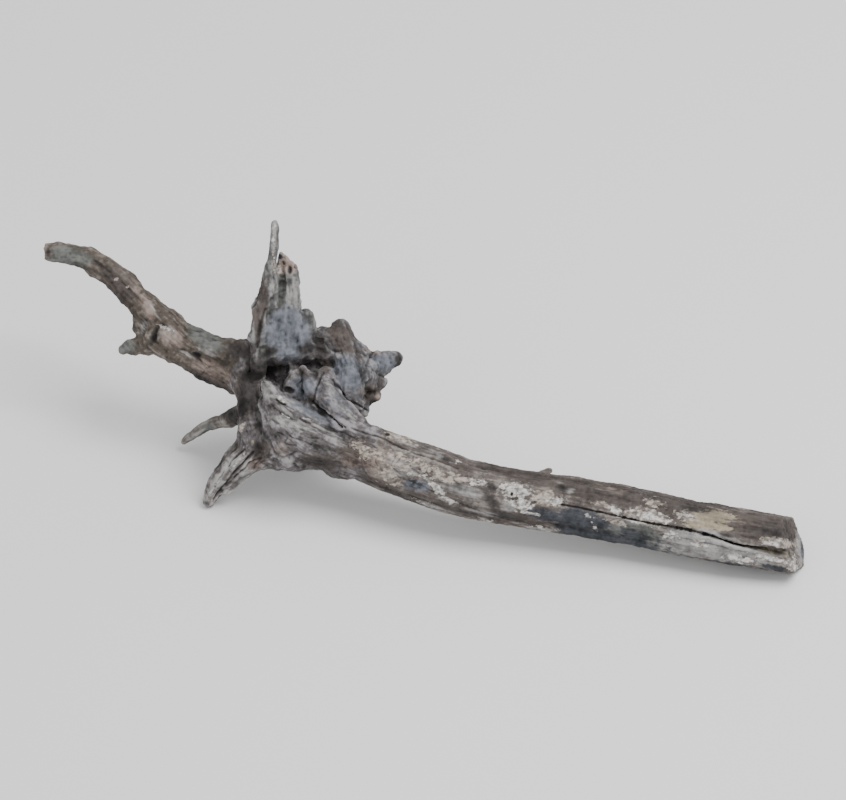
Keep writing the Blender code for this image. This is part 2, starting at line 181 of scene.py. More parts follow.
UPRIGHT_ROOT: dict[str, Stations] = {
    "needle": [
        (-131, 155, 91, 6.5), (-130.5, 168, 103.5, 7), (-130, 181.5, 116.5, 7),
        (-129, 197.5, 132, 6.7), (-128.4, 213.5, 147, 6.6), (-124.2, 229.5, 162.5, 5.3),
        (-120.2, 245.5, 178, 4.2), (-118.1, 257.5, 189.5, 4), (-117.6, 269.5, 201, 3.8),
        (-117.5, 277.5, 209, 3.4),
    ],
    "plate_left": [
        (-117.5, 176, 106, 13), (-118.5, 189.5, 119, 11), (-118.5, 209.5, 138.5, 9),
        (-116, 225.5, 154, 7), (-115, 240, 167.5, 5),
    ],
    "plate_right": [
        (-103, 176, 105, 13), (-107, 189.5, 118, 11), (-109.5, 209.5, 137.5, 9),
        (-110.5, 225.5, 153, 7), (-110.5, 238.5, 165, 5),
    ],
    "right_edge": [
        (-95, 176, 106, 9.5), (-99, 193.5, 123, 8.5), (-103.5, 209.5, 138.5, 6.7),
        (-104.5, 225.5, 154, 6.7), (-105, 239, 167, 6),
    ],
    "step": [(-91, 181.5, 109.5, 9.5), (-92, 193.5, 121, 7.5), (-93, 204, 131, 6.5)],
    "saddle_shoulder": [(-82, 183, 101, 14), (-89, 179, 100, 14.5)],
    "splinter_1": [(-114.5, 241, 168, 3.6), (-112.5, 254, 180, 2.2)],
    "splinter_2": [(-110, 239, 165, 3.6), (-109, 250, 175, 2.3)],
    "splinter_3": [(-106, 238, 166, 3.8), (-104.8, 246, 173.5, 2.4)],
    "splinter_4": [(-101.5, 235, 162, 4.2), (-101, 243.2, 169.5, 3)],
}

LONG_ROOT: dict[str, Stations] = {
    "stem": [
        (-129, 149.5, 74, 16), (-150.5, 160.5, 79, 16.5), (-174.5, 171.5, 85, 17),
        (-190.5, 181.5, 91, 16.8), (-204, 194, 98, 16), (-218.5, 208.5, 106, 13.5),
        (-233, 223, 114, 12), (-246.5, 236, 122, 11.2), (-258.5, 245.5, 129, 10.7),
        (-270.5, 251.7, 134, 10), (-282.5, 253.8, 137, 9), (-306, 255.5, 142, 7.6),
    ],
    "spur": [
        (-199, 178.5, 92, 12), (-212, 184.5, 94, 11.3), (-221.5, 182.5, 90, 8.3),
        (-232, 180.5, 87, 6), (-238.5, 179, 85, 4.2), (-240.5, 178, 84, 3.6),
    ],
    "spur_web": [(-224, 213.5, 106, 9), (-223, 200, 99, 9), (-222.5, 189, 94, 8)],
    "upper_muscle": [
        (-204, 195.5, 98, 11.5), (-190.5, 187.3, 97, 11.7), (-174.5, 179.3, 95, 12.7),
        (-158.5, 175.5, 96, 11.5), (-138.5, 173.5, 97, 12.5),
    ],
}

THIN_ROOT: dict[str, Stations] = {
    "stem": [
        (-138.5, 128.5, 70, 10), (-146.5, 125.6, 63, 8), (-156, 121.8, 52, 6),
        (-169, 118.2, 38, 5), (-180, 112.8, 25, 4.3), (-188.5, 106.6, 14, 3.7),
        (-192, 103.8, 10, 3.2),
    ],
}

LOWER_ROOT: dict[str, Stations] = {
    "stem": [
        (-132.5, 104.5, 56, 14), (-145, 90, 40, 12.8), (-156.8, 78.5, 27, 11),
        (-164.5, 69, 16, 8.7), (-169.5, 60, 8, 6), (-171, 57, 4.5, 5.5),
    ],
    "outer_flute": [
        (-124, 95.5, 45, 12), (-137, 87, 34, 8.5), (-148.5, 76.5, 24, 7), (-157, 66.5, 15, 5.4),
    ],
}


def link(thing: bpy.types.Object) -> bpy.types.Object:
    """Put an object into the scene and return it."""
    bpy.context.scene.collection.objects.link(thing)
    return thing


def moulded(name: str, shape: bmesh.types.BMesh) -> bpy.types.Object:
    """Turn a shape into an object outside every collection.

    Args:
        name: The object's name.
        shape: The shape, freed by this.

    Returns:
        The object.
    """
    mesh = bpy.data.meshes.new(name)
    shape.to_mesh(mesh)
    shape.free()
    return bpy.data.objects.new(name, mesh)


def smooth_curve(points: np.ndarray, extra: np.ndarray,
                 steps: int) -> tuple[np.ndarray, np.ndarray]:
    """Run a smooth curve through points that carry a value each.

    Args:
        points: Rows of x, y, z.
        extra: One value per point, such as a radius.
        steps: How many parts each span is cut into.

    Returns:
        The finer points and their values.
    """
    if len(points) < 3:
        return points, extra
    table = np.column_stack([points, extra])
    padded = np.vstack([table[:1], table, table[-1:]])
    t = np.arange(steps)[:, None] / steps
    weights = (
        (-t + 2 * t**2 - t**3) / 2,
        (2 - 5 * t**2 + 3 * t**3) / 2,
        (t + 4 * t**2 - 3 * t**3) / 2,
        (t**3 - t**2) / 2,
    )
    spans = [sum(w * padded[i + k] for k, w in enumerate(weights)) for i in range(len(table) - 1)]
    fine = np.vstack([*spans, table[-1:]])
    return fine[:, :3], fine[:, 3]


@dataclass
class Strand:
    """A bundle of fibres along a smooth curve, thick as its radii say."""

    stations: Stations
    steps: int = 5
    dome_angles: Place = (35.0, 65.0, 85.0)
    points: np.ndarray = field(init=False)
    radii: np.ndarray = field(init=False)

    def __post_init__(self) -> None:
        """Work out the smooth curve."""
        radii = np.array([row[3] for row in self.stations], float)
        self.points, self.radii = smooth_curve(VIEW.place(self.stations), radii, self.steps)

    def rounded(self) -> tuple[np.ndarray, np.ndarray]:
        """Close the curve with a dome at each end.

        Returns:
            The curve's points and radii, the domes' among them.
        """
        angles = np.radians(self.dome_angles)[:, None]

        def dome(tip: np.ndarray, inner: np.ndarray,
                 radius: float) -> tuple[np.ndarray, np.ndarray]:
            """Return the points and radii that close one end."""
            outward = (tip - inner) / np.linalg.norm(tip - inner)
            return tip + outward * radius * np.sin(angles), (radius * np.cos(angles))[:, 0]

        first, first_radii = dome(self.points[0], self.points[1], self.radii[0])
        last, last_radii = dome(self.points[-1], self.points[-2], self.radii[-1])
        points = np.vstack([first[::-1], self.points, last])
        return points, np.concatenate([first_radii[::-1], self.radii, last_radii])


@dataclass(frozen=True)
class Fork:
    """The plane and reach at which a limb is parted from the crown."""

    centre: Place
    leaving: Place
    radius: float
    reach: float
    bark_share: float = 1.3

    def offsets(self, points: np.ndarray) -> tuple[np.ndarray, np.ndarray]:
        """Measure points from the fork.

        Args:
            points: Rows of x, y, z.

        Returns:
            How far each lies beyond the plane, and how far from the fork's axis.
        """
        direction = np.array(self.leaving, float)
        direction /= np.linalg.norm(direction)
        offset = points - VIEW.place([self.centre])[0]
        along = offset @ direction
        return along, np.linalg.norm(offset - along[:, None] * direction, axis=1)

    def holds(self, points: np.ndarray) -> np.ndarray:
        """Return which points lie beyond the fork and within its reach."""
        along, aside = self.offsets(points)
        return (along > 0) & (aside < self.radius) & (along < self.reach)

    def bark(self, points: np.ndarray, band: float) -> np.ndarray:
        """Work out how surely bark is left at points.

        Args:
            points: Rows of x, y, z.
            band: How far from the plane bark can lie.

        Returns:
            1 on the plane, less away from it and below 0 past the band.
        """
        along, aside = self.offsets(points)
        near = np.clip(1 - np.abs(along) / band, 0, 1) * (aside < self.radius)
        return self.bark_share * near + 1 - self.bark_share


@dataclass(frozen=True)
class Crack:
    """A drying crack that follows the surface: stations carry half its width."""

    stations: Stations
    depth: float
    axis: Stations


@dataclass(frozen=True)
class Flat:
    """A flat face that a saw, a break or the table left."""

    centre: Place
    facing: Place
    size: float


@dataclass(frozen=True)
class Carver:
    """Makes the fused skin of the wood with Blender's own modelling tools."""

    fuse_voxel: float = 1.2
    skin_voxel: float = 0.9
    smoothing: float = 0.5
    fillet_passes: int = 11
    polish_passes: int = 2
    flute_turn: float = 38.0
    flute_swell: float = 1.05
    fluted_core: float = 0.9
    tube_facets: int = 6
    weld_gap: float = 0.01
    wedge_steps: int = 5
    wedge_stand: float = 6.0

    def fluted(self, stations: Stations, muscles: Sequence[tuple[float, float]]) -> list[Stations]:
        """Wind muscles of grain round a stem.

        Args:
            stations: The stem's stations.
            muscles: Where each muscle begins, in degrees, and its share of the stem's radius.

        Returns:
            The slimmer core and one strand per muscle.
        """
        strands: list[Stations] = [[(*row[:3], row[3] * self.fluted_core) for row in stations]]
        for start, share in muscles:
            strand = []
            for index, (across, rise, height, radius) in enumerate(stations):
                angle = math.radians(start + self.flute_turn * index / (len(stations) - 1))
                reach = radius * (self.flute_swell - share)
                upward, forward = reach * math.sin(angle), reach * math.cos(angle)
                lift = upward * math.cos(VIEW.elevation) + forward * math.sin(VIEW.elevation)
                strand.append((across, rise + upward, height + lift, radius * share))
            strands.append(strand)
        return strands

    def tubes(self, name: str, bundles: Sequence[Stations]) -> bpy.types.Object:
        """Make round closed tubes.

        Args:
            name: The new object's name.
            bundles: One strand's stations per tube.

        Returns:
            A mesh object outside every collection.
        """
        curve = bpy.data.curves.new(name, "CURVE")
        curve.dimensions = "3D"
        curve.bevel_depth = MM
        curve.bevel_resolution = self.tube_facets
        curve.use_fill_caps = True
        for stations in bundles:
            points, radii = Strand(stations).rounded()
            spline = curve.splines.new("POLY")
            spline.points.add(len(points) - 1)
            for knot, point, radius in zip(spline.points, points, radii):
                knot.co = (*(point * MM), 1.0)
                knot.radius = radius
        return self.settled(name, curve)

    def settled(self, name: str, data: bpy.types.ID,
                modifiers: Sequence[tuple[str, dict]] = ()) -> bpy.types.Object:
        """Apply modifiers to data and keep the result.

        Args:
            name: The new object's name.
            data: A curve or mesh, used up by this.
            modifiers: Modifier kinds with their settings.

        Returns:
            A mesh object outside every collection.
        """
        holder = link(bpy.data.objects.new(name + "_holder", data))
        for kind, settings in modifiers:
            modifier = holder.modifiers.new(kind, kind)
            for key, value in settings.items():
                setattr(modifier, key, value)
        graph = bpy.context.evaluated_depsgraph_get()
        mesh = bpy.data.meshes.new_from_object(holder.evaluated_get(graph))
        bpy.data.objects.remove(holder)
        return bpy.data.objects.new(name, mesh)

    def bore(self, stations: Stations) -> bpy.types.Object:
        """Return a closed tube to cut a hollow with, its caps joined to its side."""
        weld = ("WELD", {"merge_threshold": self.weld_gap * MM})
        return self.settled("hollow", self.tubes("tube", [stations]).data, [weld])

    def block(self, flat: Flat) -> bpy.types.Object:
        """Make a cube to cut a flat with.

        Args:
            flat: The flat.

        Returns:
            A cube whose near face lies on the flat.
        """
        size = flat.size * MM
        shape = bmesh.new()
        bmesh.ops.create_cube(shape, size=size, matrix=Matrix.Translation((0, 0, size / 2)))
        turn = Vector(flat.facing).to_track_quat("Z", "Y").to_matrix().to_4x4()
        shape.transform(Matrix.Translation(VIEW.place([flat.centre])[0] * MM) @ turn)
        return moulded("block", shape)

    def wedge(self, crack: Crack) -> bpy.types.Object:
        """Make a wedge to cut a crack with.

        Args:
            crack: The crack.

        Returns:
            A wedge along the crack that narrows to an edge at its depth.
        """
        half_widths = np.array([row[3] for row in crack.stations])
        points, widths = smooth_curve(VIEW.place(crack.stations), half_widths, self.wedge_steps)
        axis = Strand(crack.axis).points
        shape = bmesh.new()
        rings = []
        for index, (point, half_width) in enumerate(zip(points, widths)):
            along = points[min(index + 1, len(points) - 1)] - points[max(index - 1, 0)]
            along /= np.linalg.norm(along)
            inward = axis[np.argmin(np.linalg.norm(axis - point, axis=1))] - point
            inward -= along * (inward @ along)
            inward /= np.linalg.norm(inward)
            sideways = np.cross(along, inward)
            sideways = sideways * (half_width * (crack.depth + self.wedge_stand) / crack.depth)
            outer = point - inward * self.wedge_stand
            corners = (outer + sideways, outer - sideways, point + inward * crack.depth)
            rings.append([shape.verts.new(corner * MM) for corner in corners])
        for near, far in zip(rings, rings[1:]):
            for corner in range(3):
                other = (corner + 1) % 3
                shape.faces.new((near[corner], near[other], far[other], far[corner]))
        shape.faces.new(rings[0][::-1])
        shape.faces.new(rings[-1])
        bmesh.ops.recalc_face_normals(shape, faces=shape.faces)
        return moulded("wedge", shape)

    def evened(self, voxel: float, passes: int) -> list[tuple[str, dict]]:
        """Return the modifiers that lay even faces over a shape and smooth it."""
        return [
            ("REMESH", {"mode": "VOXEL", "voxel_size": voxel * MM}),
            ("SMOOTH", {"factor": self.smoothing, "iterations": passes}),
        ]

    def skin(self, bundles: Sequence[Stations], hollows: Sequence[Stations],
             cracks: Sequence[Crack], flats: Sequence[Flat]) -> bpy.types.Mesh:
        """Fuse the strands and carve them.

        Args:
            bundles: The strands' stations.
            hollows: Strands of missing wood.
            cracks: Cracks deep enough to be carved.
            flats: Sawn, broken and resting faces.

        Returns:
            One closed, evenly fine mesh.
        """
        strands = self.tubes("strands", bundles)
        fillet = self.evened(self.fuse_voxel, self.fillet_passes)
        fused = self.settled("fused", strands.data, fillet)
        cutters = [self.bore(stations) for stations in hollows]
        cutters += [self.wedge(crack) for crack in cracks] + [self.block(flat) for flat in flats]
        cuts = [
            ("BOOLEAN", {"operation": "DIFFERENCE", "solver": "MANIFOLD", "object": link(cutter)})
            for cutter in cutters
        ]
        polish = self.evened(self.skin_voxel, self.polish_passes)
        carved = self.settled("carved", fused.data, [*cuts, *polish])
        for cutter in cutters:
            bpy.data.objects.remove(cutter)
        return carved.data


@dataclass
class LatticeNoise:
    """Smooth, repeatable unevenness over space."""

    seed: int
    cells: int = 256
    stretch: float = 1.7
    layer_shift: float = 17.3
    layer_scale: float = 2.03
    order: np.ndarray = field(init=False)
    slopes: np.ndarray = field(init=False)

    def __post_init__(self) -> None:
        """Shuffle the lattice."""
        source = np.random.default_rng(self.seed)
        self.order = source.permutation(self.cells)
        slopes = source.normal(size=(self.cells, 3))
        self.slopes = slopes / np.linalg.norm(slopes, axis=1, keepdims=True)

    def at(self, points: np.ndarray) -> np.ndarray:
        """Look the unevenness up.

        Args:
            points: Rows of x, y, z, of lattice size 1.

        Returns:
            One value from about -1 to 1 per point.
        """
        cell = np.floor(points).astype(np.int64)
        inside = points - cell
        ease = inside**3 * (inside * (inside * 6 - 15) + 10)
        total = np.zeros(len(points))
        for dx in (0, 1):
            weight_x = ease[:, 0] if dx else 1 - ease[:, 0]
            row = self.order[(cell[:, 0] + dx) % self.cells]
            for dy in (0, 1):
                weight_y = weight_x * (ease[:, 1] if dy else 1 - ease[:, 1])
                column = self.order[(row + cell[:, 1] + dy) % self.cells]
                for dz in (0, 1):
                    weight = weight_y * (ease[:, 2] if dz else 1 - ease[:, 2])
                    slope = self.slopes[self.order[(column + cell[:, 2] + dz) % self.cells]]
                    step = inside - (dx, dy, dz)
                    total += weight * np.einsum("ij,ij->i", slope, step)
        return total * self.stretch

    def rough(self, points: np.ndarray, octaves: int = 3, gain: float = 0.5) -> np.ndarray:
        """Return unevenness with finer unevenness on it.

        Args:
            points: Rows of x, y, z, of lattice size 1.
            octaves: How many layers, each twice as fine.
            gain: How strong each finer layer is.

        Returns:
            One value per point.
        """
        total = np.zeros(len(points))
        size, strength = 1.0, 1.0
        for layer in range(octaves):
            total += strength * self.at(points * size + layer * self.layer_shift)
            size *= self.layer_scale
            strength *= gain
        return total


@dataclass
class GrainLine:
    """A long smooth line that the fibres follow, with a frame that doesn't twist along it."""

    stations: Stations
    reach: float = 7.0
    core_share: float = 0.75
    first_side: Place = (0.31, 0.22, 0.93)
    batch: int = 20000
    points: np.ndarray = field(init=False)
    radii: np.ndarray = field(init=False)
    side: np.ndarray = field(init=False)
    other: np.ndarray = field(init=False)
    run: np.ndarray = field(init=False)

    def __post_init__(self) -> None:
        """Work out the line and carry a frame along it."""
        strand = Strand(self.stations, steps=2)
        self.points, self.radii = strand.points, strand.radii
        steps = np.diff(self.points, axis=0)
        lengths = np.linalg.norm(steps, axis=1)
        self.run = np.concatenate([[0.0], np.cumsum(lengths)])
        ways = np.vstack([steps, steps[-1:]])
        ways /= np.linalg.norm(ways, axis=1, keepdims=True)
        side = np.cross(ways[0], self.first_side)
        sides = []
        for way in ways:
            side = side - way * (side @ way)
            side /= np.linalg.norm(side)
            sides.append(side)
        self.side = np.array(sides)
        self.other = np.cross(ways, self.side)

    def follow(self, points: np.ndarray) -> tuple[np.ndarray, np.ndarray]:
        """Place points along and round the line.

        Args:
            points: Rows of x, y, z.

        Returns:
            Rows of (run, aside, other) in millimetres, and how strongly the line leads each point.
        """
        starts, ways = self.points[:-1], np.diff(self.points, axis=0)
        squares = np.einsum("ij,ij->i", ways, ways)
        grain = np.empty_like(points)
        lead = np.empty(len(points))
        for low in range(0, len(points), self.batch):
            part = points[low:low + self.batch]
            offset = part[:, None, :] - starts[None]
            share = np.clip(np.einsum("ijk,jk->ij", offset, ways) / squares, 0, 1)
            gap = np.linalg.norm(offset - share[:, :, None] * ways[None], axis=2)
            best = np.argmin(gap, axis=1)
            rows = np.arange(len(part))
            t = share[rows, best][:, None]
            away = part - (starts[best] + t * ways[best])
            side = self.side[best] * (1 - t) + self.side[best + 1] * t
            other = self.other[best] * (1 - t) + self.other[best + 1] * t
            beyond = np.einsum("ij,ij->i", away, ways[best]) / np.sqrt(squares[best])
            run = self.run[best] + t[:, 0] * np.sqrt(squares[best]) + beyond
            aside = np.einsum("ij,ij->i", away, side)
            grain[low:low + self.batch] = np.stack(
                [run, aside, np.einsum("ij,ij->i", away, other)], axis=1)
            radius = self.radii[best] * (1 - t[:, 0]) + self.radii[best + 1] * t[:, 0]
            past = np.maximum(gap[rows, best] - self.core_share * radius, 0)
            lead[low:low + self.batch] = np.exp(-past / self.reach)
        return grain, lead


class Stain(Enum):
    """What colours a patch of the wood: a stain, and for two of them also painted shade."""

    PALE = "pale_crust"
    CREAM = "cream_wood"
    CHAR = "blackened_wood"
    BARK = "brown_skin"
    GREY = "silvered_wood"
    BLUE = "blue_grey_wood"
    RED = "red_heartwood"
    # Dark wood, and painted shade in hollows, gaps and along edges turned from the light
    DARK_WOOD_AND_SHADE = "dark_wood_and_painted_shade"
    GREEN = "green_grey_wood"
    # Dirt, and painted shade in the crown's hollow
    DIRT_AND_SHADE = "dirt_and_painted_shade"
    BUFF = "buff_crust"


class Tone(Enum):
    """What makes a stain lighter and darker from place to place."""

    GRAIN = "grain"
    MOTTLE = "mottle"
    CRUMBS = "crumbs"


@dataclass(frozen=True)
class StainFinish:
    """One stain's dark and light colour, and how its edge runs."""

    dark: Colour
    light: Colour
    edge_size: float
    ragged: float
    edge_width: float = 0.6
    tone: Tone = Tone.GRAIN
    follows_grain: bool = False
    crumbles: bool = False


# Laid over the wood in this order
STAIN_FINISHES: dict[Stain, StainFinish] = {
    Stain.BARK: StainFinish(
        (0.036, 0.030, 0.027), (0.120, 0.099, 0.090), 7.0, 0.9, follows_grain=True),
    Stain.GREEN: StainFinish(
        (0.052, 0.055, 0.050), (0.175, 0.178, 0.167), 7.0, 0.8, tone=Tone.MOTTLE),
    Stain.GREY: StainFinish(
        (0.11, 0.105, 0.103), (0.42, 0.405, 0.395), 6.0, 1.0, follows_grain=True),
    Stain.BLUE: StainFinish(
        (0.058, 0.062, 0.074), (0.205, 0.216, 0.246), 6.0, 0.7, tone=Tone.MOTTLE),
    Stain.RED: StainFinish(
        (0.06, 0.04, 0.033), (0.35, 0.28, 0.245), 4.0, 0.8, follows_grain=True),
    Stain.CHAR: StainFinish(
        (0.012, 0.014, 0.017), (0.075, 0.079, 0.090), 5.0, 1.0, 0.5, Tone.MOTTLE),
    Stain.CREAM: StainFinish(
        (0.20, 0.168, 0.120), (0.42, 0.365, 0.265), 5.0, 1.1, 0.34, Tone.GRAIN, True, True),
    Stain.BUFF: StainFinish(
        (0.165, 0.138, 0.120), (0.49, 0.43, 0.375), 4.5, 1.3, 0.4, Tone.CRUMBS, crumbles=True),
    Stain.PALE: StainFinish(
        (0.20, 0.185, 0.170), (0.70, 0.675, 0.64), 4.0, 1.6, 0.32, Tone.CRUMBS, crumbles=True),
    # Soft near-black: dark wood and painted shade
    Stain.DARK_WOOD_AND_SHADE: StainFinish(
        (0.012, 0.011, 0.011), (0.066, 0.059, 0.057), 7.0, 0.6, 1.1, Tone.MOTTLE),
    # Near-black: dirt and painted shade
    Stain.DIRT_AND_SHADE: StainFinish(
        (0.008, 0.007, 0.007), (0.030, 0.026, 0.025), 4.0, 0.7, 0.5),
}


@dataclass(frozen=True)
class Oval:
    """An oval mark on the seen side, placed in photograph pixels, longest along its lean."""

    column: float
    row: float
    half_long: float
    half_wide: float

    def depth_inside(self, columns: np.ndarray, rows: np.ndarray, lean: float) -> np.ndarray:
        """Measure points against the oval.

        Args:
            columns: The points' columns.
            rows: The points' rows.
            lean: How far the oval leans from level, in degrees.

        Returns:
            1 at the oval's middle, 0 on its rim and less outside.
        """
        turn = math.radians(lean)
        right, down = columns - self.column, rows - self.row
        along = right * math.cos(turn) + down * math.sin(turn)
        aside = down * math.cos(turn) - right * math.sin(turn)
        return 1 - np.hypot(along / self.half_long, aside / self.half_wide)


@dataclass(frozen=True)
class Patch(Oval):
    """An oval of stain; some ovals paint shade or highlight."""

    lean: float
    strength: float

    def strength_at(self, columns: np.ndarray, rows: np.ndarray) -> np.ndarray:
        """Return how surely the stain lies at points: above 0 inside the oval."""
        return self.strength * self.depth_inside(columns, rows, self.lean)


@dataclass(frozen=True)
class Pit(Oval):
    """A small oval hollow, or with a negative depth a bump."""

    depth: float
    lean: float = 0.0
    floor_at: float = 0.75

    def sunk(self, columns: np.ndarray, rows: np.ndarray) -> np.ndarray:
        """Return how far the pit sinks points."""
        inside = self.depth_inside(columns, rows, self.lean)
        return self.depth * smooth_step(inside, 0, self.floor_at)


@dataclass(frozen=True)
class Seam:
    """A narrow groove on the seen side, placed in photograph pixels, made dark with painted shade.
    """

    line: tuple[tuple[float, float], ...]
    half_width: float
    depth: float
    shade: float = 1.0
    steps: int = 6

    def distance(self, columns: np.ndarray, rows: np.ndarray) -> np.ndarray:
        """Measure points against the groove's middle.

        Args:
            columns: The points' columns.
            rows: The points' rows.

        Returns:
            Each point's distance in pixels to the smoothed line.
        """
        knots = np.column_stack([np.array(self.line, float), np.zeros(len(self.line))])
        fine, _ = smooth_curve(knots, np.zeros(len(knots)), self.steps)
        nearest = np.full(len(columns), np.inf)
        for (x0, y0, _), (x1, y1, _) in zip(fine, fine[1:]):
            right, down = x1 - x0, y1 - y0
            square = max(right**2 + down**2, 1e-9)
            t = np.clip(((columns - x0) * right + (rows - y0) * down) / square, 0, 1)
            nearest = np.minimum(nearest, np.hypot(columns - x0 - t * right, rows - y0 - t * down))
        return nearest


@dataclass(frozen=True)
class Wave:
    """One layer of relief: its height, its seed, and how long and wide its swells are.

    A wave with a crest is folded: it is highest, by its crest, along narrow lines.
    """

    height: float
    seed: int
    length: float
    width: float
    octaves: int = 2
    crest: float | None = None


class Skin:
    """The fused surface as arrays, in millimetres."""

    facing_sharpness: float = 4.0

    def __init__(self, mesh: bpy.types.Mesh) -> None:
        """Read the mesh.

        Args:
            mesh: A closed mesh of quads and triangles in metres.
        """
        mesh.update()
        count = len(mesh.vertices)
        self.points = np.empty(count * 3)
        mesh.vertices.foreach_get("co", self.points)
        self.points = self.points.reshape(-1, 3) / MM
        edges = np.empty(len(mesh.edges) * 2, int)
        mesh.edges.foreach_get("vertices", edges)
        self.edges = edges.reshape(-1, 2)
        corners = np.empty(len(mesh.loops), int)
        mesh.loops.foreach_get("vertex_index", corners)
        sizes = np.empty(len(mesh.polygons), int)
        mesh.polygons.foreach_get("loop_total", sizes)
        starts = np.concatenate([[0], np.cumsum(sizes)[:-1]])
        quads = starts[sizes == 4]
        thirds = starts[sizes == 3]
        self.faces = np.vstack([
            np.stack([corners[quads + k] for k in (0, 1, 2, 3)], axis=1),
            np.stack([corners[thirds + k] for k in (0, 1, 2, 2)], axis=1),
        ])
        self.valence = np.bincount(self.edges.ravel(), minlength=count)

    def normals(self) -> np.ndarray:
        """Work out the normals from the faces as they lie now.

        Returns:
            The unit normal at every vertex, weighted by area.
        """
        a, b, c, d = (self.points[self.faces[:, k]] for k in range(4))
        across = np.cross(c - a, d - b)
        total = np.zeros_like(self.points)
        for axis in range(3):
            for corner in range(4):
                users = self.faces[:, corner]
                total[:, axis] += np.bincount(users, across[:, axis], len(self.points))
        return total / np.maximum(np.linalg.norm(total, axis=1, keepdims=True), 1e-12)

    def averaged(self, values: np.ndarray, passes: int) -> np.ndarray:
        """Spread values over the surface.

        Args:
            values: One number or row per vertex.
            passes: How many times each vertex takes half of its neighbours' mean.

        Returns:
            The smoother values.
        """
        flat = values.reshape(len(values), -1).copy()
        first, second = self.edges[:, 0], self.edges[:, 1]
        for _ in range(passes):
            for axis in range(flat.shape[1]):
                column = flat[:, axis]
                around = np.bincount(first, column[second], len(column))
                around += np.bincount(second, column[first], len(column))
                flat[:, axis] = 0.5 * column + 0.5 * around / self.valence
        return flat.reshape(values.shape)

    def hollowness(self, passes: int, scale: float) -> np.ndarray:
        """Return 1 where a vertex lies in a hollow as deep as scale, and -1 on such a ridge."""
        away = self.averaged(self.points, passes) - self.points
        return np.clip(np.einsum("ij,ij->i", away, self.normals()) / scale, -1, 1)

    def pixels(self) -> tuple[np.ndarray, np.ndarray]:
        """Return the photograph's column and row at which each vertex would be seen."""
        across, rise = (distance / VIEW.mm_per_pixel for distance in VIEW.seen(self.points))
        return VIEW.origin_pixel[0] + across, VIEW.origin_pixel[1] - rise

    def facing(self) -> np.ndarray:
        """Return 1 where the surface faces the photograph's camera and 0 where it faces away."""
        return np.clip(self.normals() @ VIEW.toward() * self.facing_sharpness + 0.5, 0, 1)


def smooth_step(values: np.ndarray, low: float, high: float) -> np.ndarray:
    """Return 0 below low, 1 above high and an eased value between."""
    t = np.clip((values - low) / (high - low), 0, 1)
    return t * t * (3 - 2 * t)


